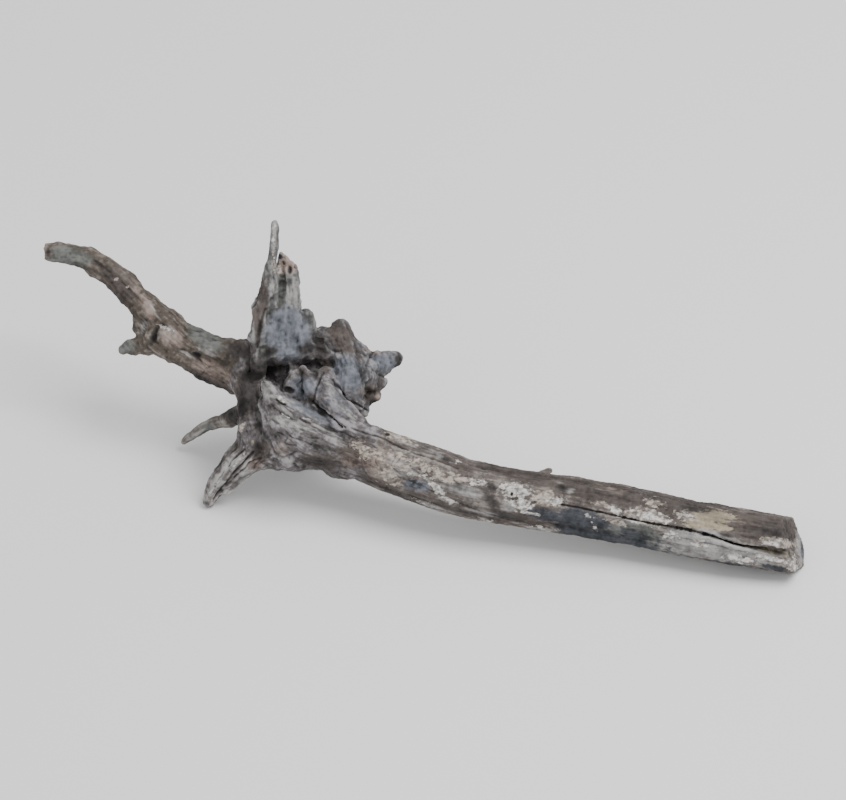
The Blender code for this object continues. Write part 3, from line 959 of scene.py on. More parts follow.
@dataclass
class Weather:
    """Gives the skin its relief and works out where its stains and painted shade lie."""

    skin: Skin
    lines: Sequence[GrainLine]
    swell: Wave = Wave(1.9, 3, 15, 15, 3)
    fold: Wave = Wave(2.2, 4, 46, 13, crest=0.32)
    ripple: Wave = Wave(0.7, 5, 50, 6.5)
    fibre: Wave = Wave(0.5, 7, 24, 3.2, crest=0.35)
    grit: Wave = Wave(0.26, 11, 3.4, 3.4)
    seam_wander: Wave = Wave(0.5, 13, 6, 6)
    trunk_calm: float = 0.65
    thin_fibre: float = 0.4
    thin_relief: float = 0.15
    thin_radius: float = 1.5
    thick_radius: float = 12.0
    least_lead: float = 0.03
    hidden_seed: int = 23
    hidden_patch: float = 44.0
    stain_shift: float = 9.1
    stain_scarcity: float = 0.6
    crust_scarcity: float = 0.85
    bark_band: float = 26.0
    hollow_scales: tuple[tuple[str, int, float], ...] = (
        ("fine_hollow", 6, 0.5), ("mid_hollow", 18, 1.3), ("broad_hollow", 45, 2.6))
    underside_from: float = 0.9
    grain: list[np.ndarray] = field(init=False)
    leads: np.ndarray = field(init=False)
    seam_shade: np.ndarray = field(init=False)

    def __post_init__(self) -> None:
        """Lay the grain over the skin."""
        followed = [line.follow(self.skin.points) for line in self.lines]
        self.grain = [grain for grain, _ in followed]
        leads = np.stack([lead for _, lead in followed]) ** 2 + 1e-9
        self.leads = leads / leads.sum(axis=0)
        self.seam_shade = np.zeros(len(self.skin.points))

    def around(self, wave: Wave) -> np.ndarray:
        """Return a wave that runs alike in every direction."""
        noise = LatticeNoise(wave.seed)
        return wave.height * noise.rough(self.skin.points / wave.width, wave.octaves)

    def along_grain(self, wave: Wave) -> np.ndarray:
        """Draw a wave out along the fibres.

        Args:
            wave: The wave.

        Returns:
            Its height at every vertex.
        """
        noise = LatticeNoise(wave.seed)
        size = (wave.length, wave.width, wave.width)
        total = np.zeros(len(self.skin.points))
        for grain, lead in zip(self.grain, self.leads):
            led = np.flatnonzero(lead > self.least_lead)
            total[led] += lead[led] * noise.rough(grain[led] / size, wave.octaves)
        if wave.crest is not None:
            total = wave.crest - np.abs(total)
        return wave.height * total

    def roughen(self, pits: Sequence[Pit], seams: Sequence[Seam]) -> None:
        """Move the skin by its lumps, fibres, flakes, pits and seams.

        Args:
            pits: Hollows and bumps.
            seams: Narrow grooves.
        """
        skin = self.skin
        slender = self.slenderness()
        gnarled = 1 - self.trunk_calm * self.leads[0]
        lumps = self.around(self.swell) * slender * gnarled
        folds = self.along_grain(self.fold) * slender * gnarled
        fibres = self.along_grain(self.ripple) + self.along_grain(self.fibre)
        fibres = fibres * (self.thin_fibre + (1 - self.thin_fibre) * slender)
        height = lumps + folds + fibres + self.around(self.grit)
        columns, rows = skin.pixels()
        seen = skin.facing()
        for pit in pits:
            height -= pit.sunk(columns, rows) * seen
        wander = self.around(self.seam_wander)
        for seam in seams:
            gap = seam.distance(columns, rows) + wander
            groove = np.exp(-(gap / seam.half_width) ** 2) * seen
            height -= seam.depth * groove
            # The groove's painted shade, as strong as the seam's shade
            self.seam_shade = np.maximum(self.seam_shade, groove * seam.shade)
        skin.points = skin.points + skin.normals() * height[:, None]
        skin.points[:, 2] = np.maximum(skin.points[:, 2], 0.0)

    def slenderness(self) -> np.ndarray:
        """Tell thick wood from thin.

        Returns:
            1 on thick wood and less on thin roots and needles, for every vertex.
        """
        radius = np.zeros(len(self.skin.points))
        for line, grain, lead in zip(self.lines, self.grain, self.leads):
            radius += lead * np.interp(grain[:, 0], line.run, line.radii)
        thick = smooth_step(radius, self.thin_radius, self.thick_radius)
        return thick * (1 - self.thin_relief) + self.thin_relief

    def stain(self, patches: dict[Stain, tuple[Patch, ...]],
              forks: Sequence[Fork]) -> dict[str, np.ndarray]:
        """Work out where each stain lies.

        Args:
            patches: The stains on the seen side.
            forks: Where bark was left between the limbs on the hidden side.

        Returns:
            For each stain's name a field that is above 0 where it lies, and the seams, hollows,
            ridges and undersides that lay painted shade and highlight.
        """
        skin = self.skin
        columns, rows = skin.pixels()
        seen = skin.facing()
        far = LatticeNoise(self.hidden_seed)
        fields: dict[str, np.ndarray] = {}
        for number, stain in enumerate(Stain):
            near = np.full(len(columns), -1.0)
            for patch in patches[stain]:
                near = np.maximum(near, patch.strength_at(columns, rows))
            crust = STAIN_FINISHES[stain].crumbles
            place = skin.points / self.hidden_patch + number * self.stain_shift
            hidden = far.rough(place, 2) - (self.crust_scarcity if crust else self.stain_scarcity)
            if stain is Stain.BARK:
                for fork in forks:
                    hidden = np.maximum(hidden, fork.bark(skin.points, self.bark_band))
            fields[stain.value] = near * seen + hidden * (1 - seen)
        fields["seam_shade"] = self.seam_shade
        for name, passes, scale in self.hollow_scales:
            fields[name] = skin.hollowness(passes, scale)
        # How far the surface faces down, for the painted shade on undersides
        fields["underside"] = smooth_step(-skin.normals()[:, 2], 0.0, self.underside_from)
        return fields


@dataclass(frozen=True)
class Finish:
    """The wood of one limb: its colours from groove to ridge, the colour of wear and painted
    highlight on its ridges, and how rough it is.
    """

    groove: Colour
    body: Colour
    ridge: Colour
    # Lighter colour on ridges: partly wear, partly painted highlight
    ridge_wear_and_highlight: Colour = (0.46, 0.44, 0.42)
    roughness: float = 0.85
    specular: float = 0.25
    evenness: float = 0.36


@dataclass(frozen=True)
class Grade:
    """How coarse a noise is: the size of its blotches along each axis, and its finer layers."""

    size: Place
    detail: float
    roughness: float = 0.55

    def times(self, share: float) -> "Grade":
        """Return the same noise, coarser by a share."""
        return replace(self, size=tuple(length * share for length in self.size))


class Wiring:
    """Lays out the nodes of one material."""

    def __init__(self, material: bpy.types.Material) -> None:
        """Start from the material's own shader.

        Args:
            material: A new material.
        """
        material.use_nodes = True
        self.tree = material.node_tree
        self.shader = self.tree.nodes["Principled BSDF"]

    def feed(self, entry: Socket, value: object) -> None:
        """Join a socket to an entry, or set the entry to a number or a colour.

        Args:
            entry: A node's entry.
            value: What it gets.
        """
        if isinstance(value, bpy.types.NodeSocket):
            self.tree.links.new(value, entry)
        elif entry.type == "RGBA":
            entry.default_value = (*value, 1.0)
        else:
            entry.default_value = value

    def coat(self, colour: object, roughness: float, specular: float) -> None:
        """Give the shader its colour, roughness and gloss.

        Args:
            colour: A colour or a socket.
            roughness: From 0 for a mirror to 1 for chalk.
            specular: How strongly it glints.
        """
        self.feed(self.shader.inputs["Base Color"], colour)
        self.feed(self.shader.inputs["Roughness"], roughness)
        self.feed(self.shader.inputs["Specular IOR Level"], specular)

    def node(self, kind: str, inputs: dict, **settings: object) -> bpy.types.Node:
        """Add a node.

        Args:
            kind: The node's type.
            inputs: Values or sockets by input name or number.
            **settings: The node's own properties.

        Returns:
            The node.
        """
        made = self.tree.nodes.new(kind)
        for key, value in settings.items():
            setattr(made, key, value)
        for key, value in inputs.items():
            self.feed(made.inputs[key], value)
        return made

    def attribute(self, name: str, output: str = "Fac") -> Socket:
        """Return a field of one number per vertex, or with the output Vector one of directions."""
        return self.node("ShaderNodeAttribute", {}, attribute_name=name).outputs[output]

    def scaled(self, vector: Socket, size: Place) -> Socket:
        """Return the vector divided by a size along each axis."""
        inputs = {0: vector, 1: tuple(1 / length for length in size)}
        return self.node("ShaderNodeVectorMath", inputs, operation="MULTIPLY").outputs[0]

    def noise(self, vector: Socket, grade: Grade) -> Socket:
        """Return unevenness from 0 to 1 over the vector, cut to the grade's size."""
        return self.node("ShaderNodeTexNoise", {
            "Vector": self.scaled(vector, grade.size), "Scale": 1.0, "Detail": grade.detail,
            "Roughness": grade.roughness,
        }).outputs["Fac"]

    def math(self, operation: str, *values: object) -> Socket:
        """Return the result of an operation on numbers."""
        return self.node("ShaderNodeMath", dict(enumerate(values)), operation=operation).outputs[0]

    def weighted(self, shares: Sequence[tuple[Socket, float]]) -> Socket:
        """Add values up.

        Args:
            shares: The values, each with its share.

        Returns:
            The sum of the values, each times its share.
        """
        total = self.math("MULTIPLY", *shares[0])
        for value, share in shares[1:]:
            total = self.math("MULTIPLY_ADD", value, share, total)
        return total

    def eased(self, value: Socket, low: float, high: float, start: float = 0.0,
              end: float = 1.0) -> Socket:
        """Return start below low, end above high and an eased value between."""
        return self.node("ShaderNodeMapRange", {
            "Value": value, "From Min": low, "From Max": high, "To Min": start, "To Max": end,
        }, interpolation_type="SMOOTHSTEP").outputs[0]

    def mix(self, share: object, first: object, second: object) -> Socket:
        """Return two colours mixed by a share."""
        inputs = {0: share, 6: first, 7: second}
        return self.node("ShaderNodeMix", inputs, data_type="RGBA", blend_type="MIX").outputs[2]


@dataclass(frozen=True)
class Shade:
    """A painted shade: a dark colour that a field lays on, and between which of its values the
    colour sets in.
    """

    name: str
    share: float
    colour: Colour
    window: tuple[float, float] | None = None


Grades = tuple[tuple[str, Grade], ...]
Shares = tuple[tuple[str, float], ...]


@dataclass(frozen=True)
class Dresser:
    """Builds the stained, weathered wood of one limb, with painted shade in its hollows, seams and
    undersides and painted highlight on its ridges.
    """

    along_grain: Grades = (
        ("band", Grade((34, 6, 6), 3)),
        ("streak", Grade((22, 2.4, 2.4), 3)),
        ("hair", Grade((8, 1, 1), 2)),
    )
    around: Grades = (
        ("blotch", Grade((13, 13, 13), 4, 0.62)),
        ("speckle", Grade((3, 3, 3), 3, 0.6)),
    )
    crust_crumbs: Grade = Grade((4.2, 2.8, 2.8), 4, 0.62)
    edge_crumbs: Grade = Grade((3.4, 2.3, 2.3), 3, 0.6)
    grain_edge: Grade = Grade((3.2, 0.5, 0.5), 4)
    plain_edge: Grade = Grade((1.6, 1, 1), 5, 0.66)
    grain_shares: Shares = (
        ("band", 0.6), ("streak", 0.35), ("hair", 0.1), ("blotch", 0.95), ("speckle", 0.4))
    # Negative shares darken the tone in hollows and lighten it on ridges: painted shade and
    # highlight
    hollow_shares: Shares = (
        ("fine_hollow", -0.12), ("mid_hollow", -0.12), ("broad_hollow", -0.08))
    # Its hollow shares are painted shade and highlight too
    mottle_shares: Shares = (
        ("blotch", 0.9), ("speckle", 0.4), ("hair", 0.1), ("fine_hollow", -0.12),
        ("mid_hollow", -0.1))
    bump_shares: Shares = (
        ("streak", 0.6), ("hair", 0.2), ("speckle", 0.7), (Stain.PALE.value, 0.8))
    bump_strength: float = 0.65
    bump_depth: float = 1.2
    mottle_range: tuple[float, float] = (0.42, 0.98)
    crumb_range: tuple[float, float] = (0.36, 0.62)
    ridge_wear_and_highlight_range: tuple[float, float] = (-0.95, -0.15)
    ridge_wear_and_highlight_share: float = 0.22
    raggedness: float = 2.2
    crumbling: float = 2.0
    edge_start: float = -0.06
    # Painted shade: darker colour in hollows and creases, on surfaces that face down, and in the
    # seams' grooves
    painted_shades: tuple[Shade, ...] = (
        Shade("fine_hollow", 0.32, (0.028, 0.024, 0.022), (0.2, 1.0)),
        Shade("mid_hollow", 0.45, (0.024, 0.021, 0.020), (0.2, 1.0)),
        Shade("broad_hollow", 0.55, (0.018, 0.016, 0.015), (0.2, 1.0)),
        Shade("underside", 0.5, (0.03, 0.026, 0.024)),
        Shade("seam_shade", 1.0, (0.010, 0.009, 0.009), (0.15, 0.95)),
    )

    def grain_noise(self, wiring: Wiring, grade: Grade) -> Socket:
        """Draw unevenness out along the fibres.

        Args:
            wiring: The material's nodes.
            grade: How long and wide its streaks are, and how fine.

        Returns:
            The unevenness, from 0 to 1.
        """
        total = None
        for index in range(GUIDES):
            streak = wiring.noise(wiring.attribute(f"grain_{index}", "Vector"), grade)
            led = wiring.math("MULTIPLY", streak, wiring.attribute(f"lead_{index}"))
            total = led if total is None else wiring.math("ADD", total, led)
        return total

    def texture(self, wiring: Wiring, in_mm: Socket) -> dict[str, Socket]:
        """Lay out the unevenness that the colours and bumps share.

        Args:
            wiring: The material's nodes.
            in_mm: The place in millimetres.

        Returns:
            Its sockets by name.
        """
        texture = {name: self.grain_noise(wiring, grade) for name, grade in self.along_grain}
        texture |= {name: wiring.noise(in_mm, grade) for name, grade in self.around}
        return texture | {name: wiring.attribute(name) for name, _ in self.hollow_shares}

    def blend(self, wiring: Wiring, texture: dict[str, Socket], shares: Shares) -> Socket:
        """Return the sum of a texture's sockets, each times its share."""
        return wiring.weighted([(texture[name], share) for name, share in shares])

    def tones(self, wiring: Wiring, texture: dict[str, Socket], in_mm: Socket,
              evenness: float) -> dict[Tone, Socket]:
        """Work out what makes the wood and its stains lighter and darker.

        Args:
            wiring: The material's nodes.
            texture: Its unevenness.
            in_mm: The place in millimetres.
            evenness: How gently the grain goes from dark to light.

        Returns:
            Each tone, from 0 for dark to 1 for light.
        """
        grain = self.blend(wiring, texture, self.grain_shares + self.hollow_shares)
        middle = 0.5 * sum(share for _, share in self.grain_shares)
        mottle = self.blend(wiring, texture, self.mottle_shares)
        crumbs = wiring.noise(in_mm, self.crust_crumbs)
        return {
            Tone.GRAIN: wiring.eased(grain, middle - evenness, middle + evenness),
            Tone.MOTTLE: wiring.eased(mottle, *self.mottle_range),
            Tone.CRUMBS: wiring.eased(crumbs, *self.crumb_range),
        }

    def wood(self, name: str, finish: Finish) -> bpy.types.Material:
        """Build one limb's material.

        Args:
            name: The limb.
            finish: Its colours.

        Returns:
            The material.
        """
        material = bpy.data.materials.new(name + "_weathered_wood")
        wiring = Wiring(material)
        place = wiring.node("ShaderNodeTexCoord", {}).outputs["Object"]
        in_mm = wiring.scaled(place, (MM, MM, MM))
        texture = self.texture(wiring, in_mm)
        tones = self.tones(wiring, texture, in_mm, finish.evenness)
        tone = tones[Tone.GRAIN]
        colour = wiring.mix(wiring.eased(tone, 0.0, 0.5), finish.groove, finish.body)
        colour = wiring.mix(wiring.eased(tone, 0.5, 1.0), colour, finish.ridge)
        # Ridges made lighter: partly wear, partly painted highlight
        ridge_wear_and_highlight = wiring.eased(texture["fine_hollow"], *self.ridge_wear_and_highlight_range, 1.0, 0.0)
        colour = wiring.mix(wiring.math("MULTIPLY", ridge_wear_and_highlight, self.ridge_wear_and_highlight_share), colour, finish.ridge_wear_and_highlight)
        for stain, look in STAIN_FINISHES.items():
            texture[stain.value] = self.lies(wiring, stain, look, in_mm)
            stained = wiring.mix(tones[look.tone], look.dark, look.light)
            colour = wiring.mix(texture[stain.value], colour, stained)
        # Paint shade into the hollows, undersides and seams
        for shade in self.painted_shades:
            dark = wiring.attribute(shade.name)
            if shade.window is not None:
                dark = wiring.eased(dark, *shade.window)
            colour = wiring.mix(wiring.math("MULTIPLY", dark, shade.share), colour, shade.colour)
        bump = wiring.node("ShaderNodeBump", {
            "Height": self.blend(wiring, texture, self.bump_shares),
            "Strength": self.bump_strength, "Distance": self.bump_depth * MM,
        })
        wiring.coat(colour, finish.roughness, finish.specular)
        wiring.feed(wiring.shader.inputs["Normal"], bump.outputs["Normal"])
        return material

    def lies(self, wiring: Wiring, stain: Stain, look: StainFinish, in_mm: Socket) -> Socket:
        """Work out where a stain lies.

        Args:
            wiring: The material's nodes.
            stain: Which stain.
            look: How its edge runs.
            in_mm: The place in millimetres.

        Returns:
            1 where the stain lies and 0 where it doesn't.
        """
        if look.follows_grain:
            edge = self.grain_noise(wiring, self.grain_edge.times(look.edge_size))
        else:
            edge = wiring.noise(in_mm, self.plain_edge.times(look.edge_size))
        level = wiring.math("MULTIPLY_ADD", wiring.math("SUBTRACT", edge, 0.5),
                            look.ragged * self.raggedness, wiring.attribute(stain.value))
        if look.crumbles:
            crumbs = wiring.math("SUBTRACT", wiring.noise(in_mm, self.edge_crumbs), 0.5)
            level = wiring.math("MULTIPLY_ADD", crumbs, self.crumbling, level)
        return wiring.eased(level, self.edge_start, look.edge_width)


@dataclass(frozen=True)
class Limb:
    """One limb of the wood: its strands, the fork where it is parted and its finish."""

    node: str
    strands: dict[str, Stations]
    finish: Finish
    fork: Fork | None = None
    muscles: tuple[tuple[float, float], ...] = ()


LIMBS: tuple[Limb, ...] = (
    Limb("trunk", TRUNK,
         Finish((0.052, 0.045, 0.041), (0.115, 0.098, 0.090), (0.26, 0.234, 0.214)),
         Fork((-36, 92, 50.5), (0.93, -0.35, -0.10), 84, 460),
         ((18, 0.58), (80, 0.5), (142, 0.55), (205, 0.6), (262, 0.5), (318, 0.55))),
    Limb("upright_root", UPRIGHT_ROOT,
         Finish((0.044, 0.044, 0.043), (0.110, 0.111, 0.110), (0.265, 0.264, 0.26)),
         Fork((-111, 187, 117), (0.0, 0.41, 0.91), 29.5, 150)),
    Limb("flared_root", FLARED_ROOT,
         Finish((0.038, 0.037, 0.040), (0.095, 0.092, 0.097), (0.22, 0.215, 0.224)),
         Fork((-62, 157.5, 91), (0.88, 0.315, 0.35), 45, 90)),
    Limb("long_root", LONG_ROOT,
         Finish((0.044, 0.036, 0.030), (0.096, 0.079, 0.066), (0.188, 0.160, 0.138)),
         Fork((-148, 163, 80.5), (-0.90, 0.38, 0.22), 40, 260),
         ((10, 0.55), (95, 0.6), (190, 0.5), (275, 0.55))),
    Limb("thin_root", THIN_ROOT,
         Finish((0.046, 0.039, 0.033), (0.14, 0.123, 0.108), (0.31, 0.29, 0.27)),
         Fork((-148.5, 125, 61), (-0.60, 0.39, -0.69), 12, 100)),
    Limb("lower_root", LOWER_ROOT,
         Finish((0.036, 0.032, 0.030), (0.145, 0.133, 0.127), (0.385, 0.366, 0.361)),
         Fork((-139.5, 98.5, 49), (-0.63, -0.26, -0.73), 27, 90)),
    Limb("root_crown", CROWN,
         Finish((0.037, 0.033, 0.033), (0.113, 0.102, 0.104), (0.298, 0.276, 0.288))),
)

HOLLOWS: tuple[Stations, ...] = (
    ((-136, 160.5, 94, 2.6), (-130, 160.5, 94, 5), (-121.5, 159, 93, 7), (-114, 154.5, 92, 6),
     (-109, 150, 91, 3.4)),
    ((-111, 147.5, 97, 2.2), (-105, 142.5, 96, 2.2)),
    ((-84, 181, 117, 3), (-81, 187, 117, 3)),
    ((-215.5, 188.5, 105, 2.6), (-213, 190.5, 106, 3.6)),
)

CRACKS = (
    Crack(((112, 55, 52, 0.3), (123, 53, 50.5, 0.5), (148, 47.2, 47.5, 0.8), (184, 39.2, 44, 1),
           (212, 34.4, 42.5, 1), (229, 30, 40, 1.2), (246, 24, 36.5, 1.5), (265, 20.6, 34.3, 1.6),
           (281, 18.6, 33, 1.2), (312, 16.6, 32, 1.2)), 12, TRUNK["stem"]),
    Crack(((258, 21.5, 35, 1.6), (270, 18.6, 33.4, 2.6), (285, 16, 32, 3.8), (312, 13.6, 31, 5)),
          5.5, TRUNK["stem"]),
    Crack(((-71, 154.5, 108, 1.2), (-65, 145, 102, 1.6), (-58.5, 137.5, 96, 1.8),
           (-52, 133.5, 91, 1.6), (-44, 129.5, 84, 1.4)), 7, CROWN["core"]),
    Crack(((-86, 135.5, 97, 1.5), (-78.5, 127, 90, 1.4), (-69.5, 121, 83, 1.2),
           (-62.5, 117, 78, 0.7)), 6, CROWN["core"]),
)

FLATS = (
    Flat((293, 21.6, 22.5), (0.92, -0.144, 0.363), 120),
    Flat((295.2, 3, 15), (0.42, -0.606, -0.673), 60),
    Flat((-300.5, 255.5, 141), (-0.93, 0.30, -0.10), 60),
)

# The trunk's line is the first, as Weather's trunk_calm needs
GRAIN_LINES = (
    GrainLine(((-124.5, 149, 100, 6), (-112, 130, 84, 12), (-90, 113, 66, 20), *TRUNK["stem"])),
    GrainLine(((-108, 150, 78, 16), (-110, 176, 106, 20), (-110, 209.5, 138, 16),
               (-113, 235, 163, 11), (-119, 262, 193, 4), (-119, 280, 210, 3.4))),
    GrainLine(((-100, 150, 72, 16), *LONG_ROOT["stem"])),
    GrainLine(((-58, 118, 60, 12), (-56, 136, 76, 16), (-55, 160, 90, 20), (-66, 194, 110, 9))),
    GrainLine(((-149.5, 165, 86, 12), (-139, 144, 82, 10), (-136, 123, 72, 11),
               *LOWER_ROOT["stem"])),
    GrainLine(THIN_ROOT["stem"]),
    GrainLine(((-50, 110, 66, 9), (-66, 126, 80, 12), (-80, 145, 90, 13), (-92, 165, 96, 13))),
    GrainLine(CROWN["back_heel"]),
)

SEAMS = (
    Seam(((560, 503), (577, 506), (608, 513), (644, 521), (681, 527.5), (712, 535), (740, 544)),
         1.1, 1.2),
    Seam(((352, 428), (366, 433), (384, 438), (408, 450), (440, 461), (458, 468)), 1.2, 1.2, 0.5),
    Seam(((314, 402), (322, 409), (333, 418), (346, 427)), 1.1, 1.6, 0.9),
    Seam(((335, 379), (340, 388), (346, 397), (357, 404), (367, 410)), 1, 1.2, 0.8),
    Seam(((278, 399.5), (282, 403), (287, 404)), 0.8, 1.3, 0.75),
    Seam(((301, 418), (306, 421.5), (312, 423)), 0.7, 0.8, 0.4),
    Seam(((267, 310), (262, 322), (260, 332), (257, 348)), 1.7, 1.6, 0.5),
    Seam(((246, 449), (237, 456), (230, 466)), 1.3, 1.2, 0.55),
    Seam(((226, 470), (219, 480), (213, 492)), 0.9, 0.9, 0.4),
    Seam(((254, 452), (246, 461), (236, 471), (227, 484), (215, 499)), 1.8, 2.2, 0.6),
    Seam(((262, 458), (250, 463), (243, 470), (236, 478)), 1.1, 1.2, 0.45),
    Seam(((231, 486), (222, 493), (214, 501)), 0.9, 0.9, 0.4),
    Seam(((208, 478), (206, 488), (209, 496)), 0.9, 0.6, 0.35),
    Seam(((155, 300), (165, 308), (176, 317)), 0.9, 0.8, 0.5),
    Seam(((163, 325), (157, 329), (154, 335), (156, 342)), 2.6, 1.6, 0.35),
    Seam(((200, 361), (206, 368), (203, 374)), 0.7, 0.5, 0.5),
    Seam(((206, 368), (214, 366)), 0.7, 0.5, 0.4),
    Seam(((372, 444), (379, 451), (376, 461), (383, 470)), 0.8, 0.6, 0.5),
    Seam(((390, 446), (396, 454), (392, 465), (401, 474)), 0.8, 0.6, 0.45),
    Seam(((404, 451), (413, 456), (411, 466), (419, 472)), 0.8, 0.6, 0.4),
    Seam(((398, 476), (424, 486), (452, 500), (497, 516), (548, 526)), 0.8, 0.7, 0.45),
    Seam(((657, 533), (700, 541), (742, 551)), 0.7, 0.6, 0.4),
    Seam(((288, 434), (296, 438), (306, 441), (318, 449)), 0.9, 0.8, 0.4),
    Seam(((322, 424), (345, 433), (372, 447)), 0.9, 0.8, 0.4),
    Seam(((96, 262), (118, 278), (140, 302)), 1.4, 0.6, 0.2),
    Seam(((350, 348), (358, 361), (363, 377), (368, 392)), 3.4, 2.2, 0.3),
    Seam(((320, 350), (330, 361), (337, 374)), 3, 1.6, 0.25),
    Seam(((301, 370), (303, 378), (300, 387)), 1.5, 1.2, 0.45),
    Seam(((324, 372), (318, 386), (314, 401)), 1.6, 1.6, 0.55),
    Seam(((272, 404), (284, 413), (298, 420)), 0.9, 0.6, 0.35),
    Seam(((284, 404), (300, 412), (318, 424), (338, 432)), 0.9, 0.7, 0.35),
    Seam(((270, 418), (286, 426), (305, 430)), 0.8, 0.6, 0.3),
    Seam(((278, 432), (288, 437), (286, 443), (297, 445)), 0.8, 0.6, 0.4),
    Seam(((302, 433), (309, 437), (320, 438)), 0.8, 0.6, 0.4),
    Seam(((386, 476), (388, 483), (385, 490)), 0.7, 0.5, 0.45),
    Seam(((396, 463), (402, 456), (411, 452)), 0.7, 0.5, 0.45),
    Seam(((420, 458), (422, 464), (420, 470)), 0.7, 0.5, 0.4),
    Seam(((362, 464), (366, 472), (372, 478)), 0.8, 0.5, 0.3),
    Seam(((271, 440), (275, 451), (284, 457), (297, 452)), 1.8, 1.4, 0.4),
    Seam(((290, 459), (299, 467)), 1.8, 1.2, 0.35),
    Seam(((263, 384), (261, 400), (266, 420), (275, 436)), 3, 1.5, 0.2),
    Seam(((373, 352), (368, 364), (370, 378), (366, 392)), 1.4, 1.2, 0.35),
    Seam(((327, 343), (334, 351), (346, 350)), 1.3, 1, 0.35),
    Seam(((352, 330), (358, 342), (366, 350)), 1.2, 1, 0.3),
    Seam(((336, 340), (342, 352), (347, 364)), 1.2, 0.9, 0.25),
    Seam(((360, 356), (366, 362), (376, 372), (384, 378)), 1.2, 0.9, 0.25),
)

PITS = tuple(Pit(*row) for row in (
    (155, 336, 10, 5, 2.6, 110), (172, 338, 16, 14, -4.4, 20), (197, 355, 6, 3.5, 2.4, 15),
    (142, 292, 3, 3, 1.2), (270, 392, 6, 4, 1.2, 20), (290, 390, 7, 3.5, 1.6, 20),
    (298, 376, 9, 8, -1.8, 20), (309, 388, 16, 5, -2.6, 70), (281, 408, 9, 4, -1, 30),
    (283, 292, 30, 5.5, 2.6, 90), (280, 258, 2.6, 3, 2), (291, 271, 2.6, 5, 2.6),
    (285, 264, 3, 1.6, 1.6, 80), (276, 268, 5, 1.6, 1.4, 85), (286, 278, 5, 1.6, 1.2, 85),
    (296, 268, 3, 1.6, 1.2, 60), (284, 257, 2.4, 2, -1.2), (253, 303, 8, 6, 5, 90),
    (256, 334, 18, 6, -3.4, 95), (318, 338, 10, 8, 2.6, 50), (326, 352, 8, 6, 1.6, 40),
    (340, 333, 9, 8, -1.6, 20), (338, 356, 7, 5, -1.8, 20), (350, 372, 9, 6, -1.8, 60),
    (376, 366, 7, 6, -1.6, 0), (395, 360, 6, 6, -1.2, 0), (374, 388, 6, 5, -1.8, 0),
    (365, 398, 5, 4, 1.6, 0), (559, 486, 6, 3, 1.2, 10), (451, 459, 9, 3.5, 1.2, 20),
    (283, 447, 7, 6, -1.6, 0), (301, 438, 5, 3, 1, 10), (318, 446, 6, 3, 1, 15),
    (288, 463, 9, 6, -1.8, 0), (300, 463, 6, 4, -1.2, 0), (273, 326, 5, 3.4, 0.7, 40),
    (289, 320, 5, 3, 0.6, 100), (284, 334, 6, 3.4, 0.7, 70), (280, 346, 6, 4, 0.8, 10),
    (297, 341, 5, 4, 0.8, 60), (302, 328, 3, 4, 1.2), (266, 352, 9, 8, 2.2, 0),
    (290, 352, 8, 5, -1.4, 0), (278, 317, 6, 5, -1.2, 0),
))

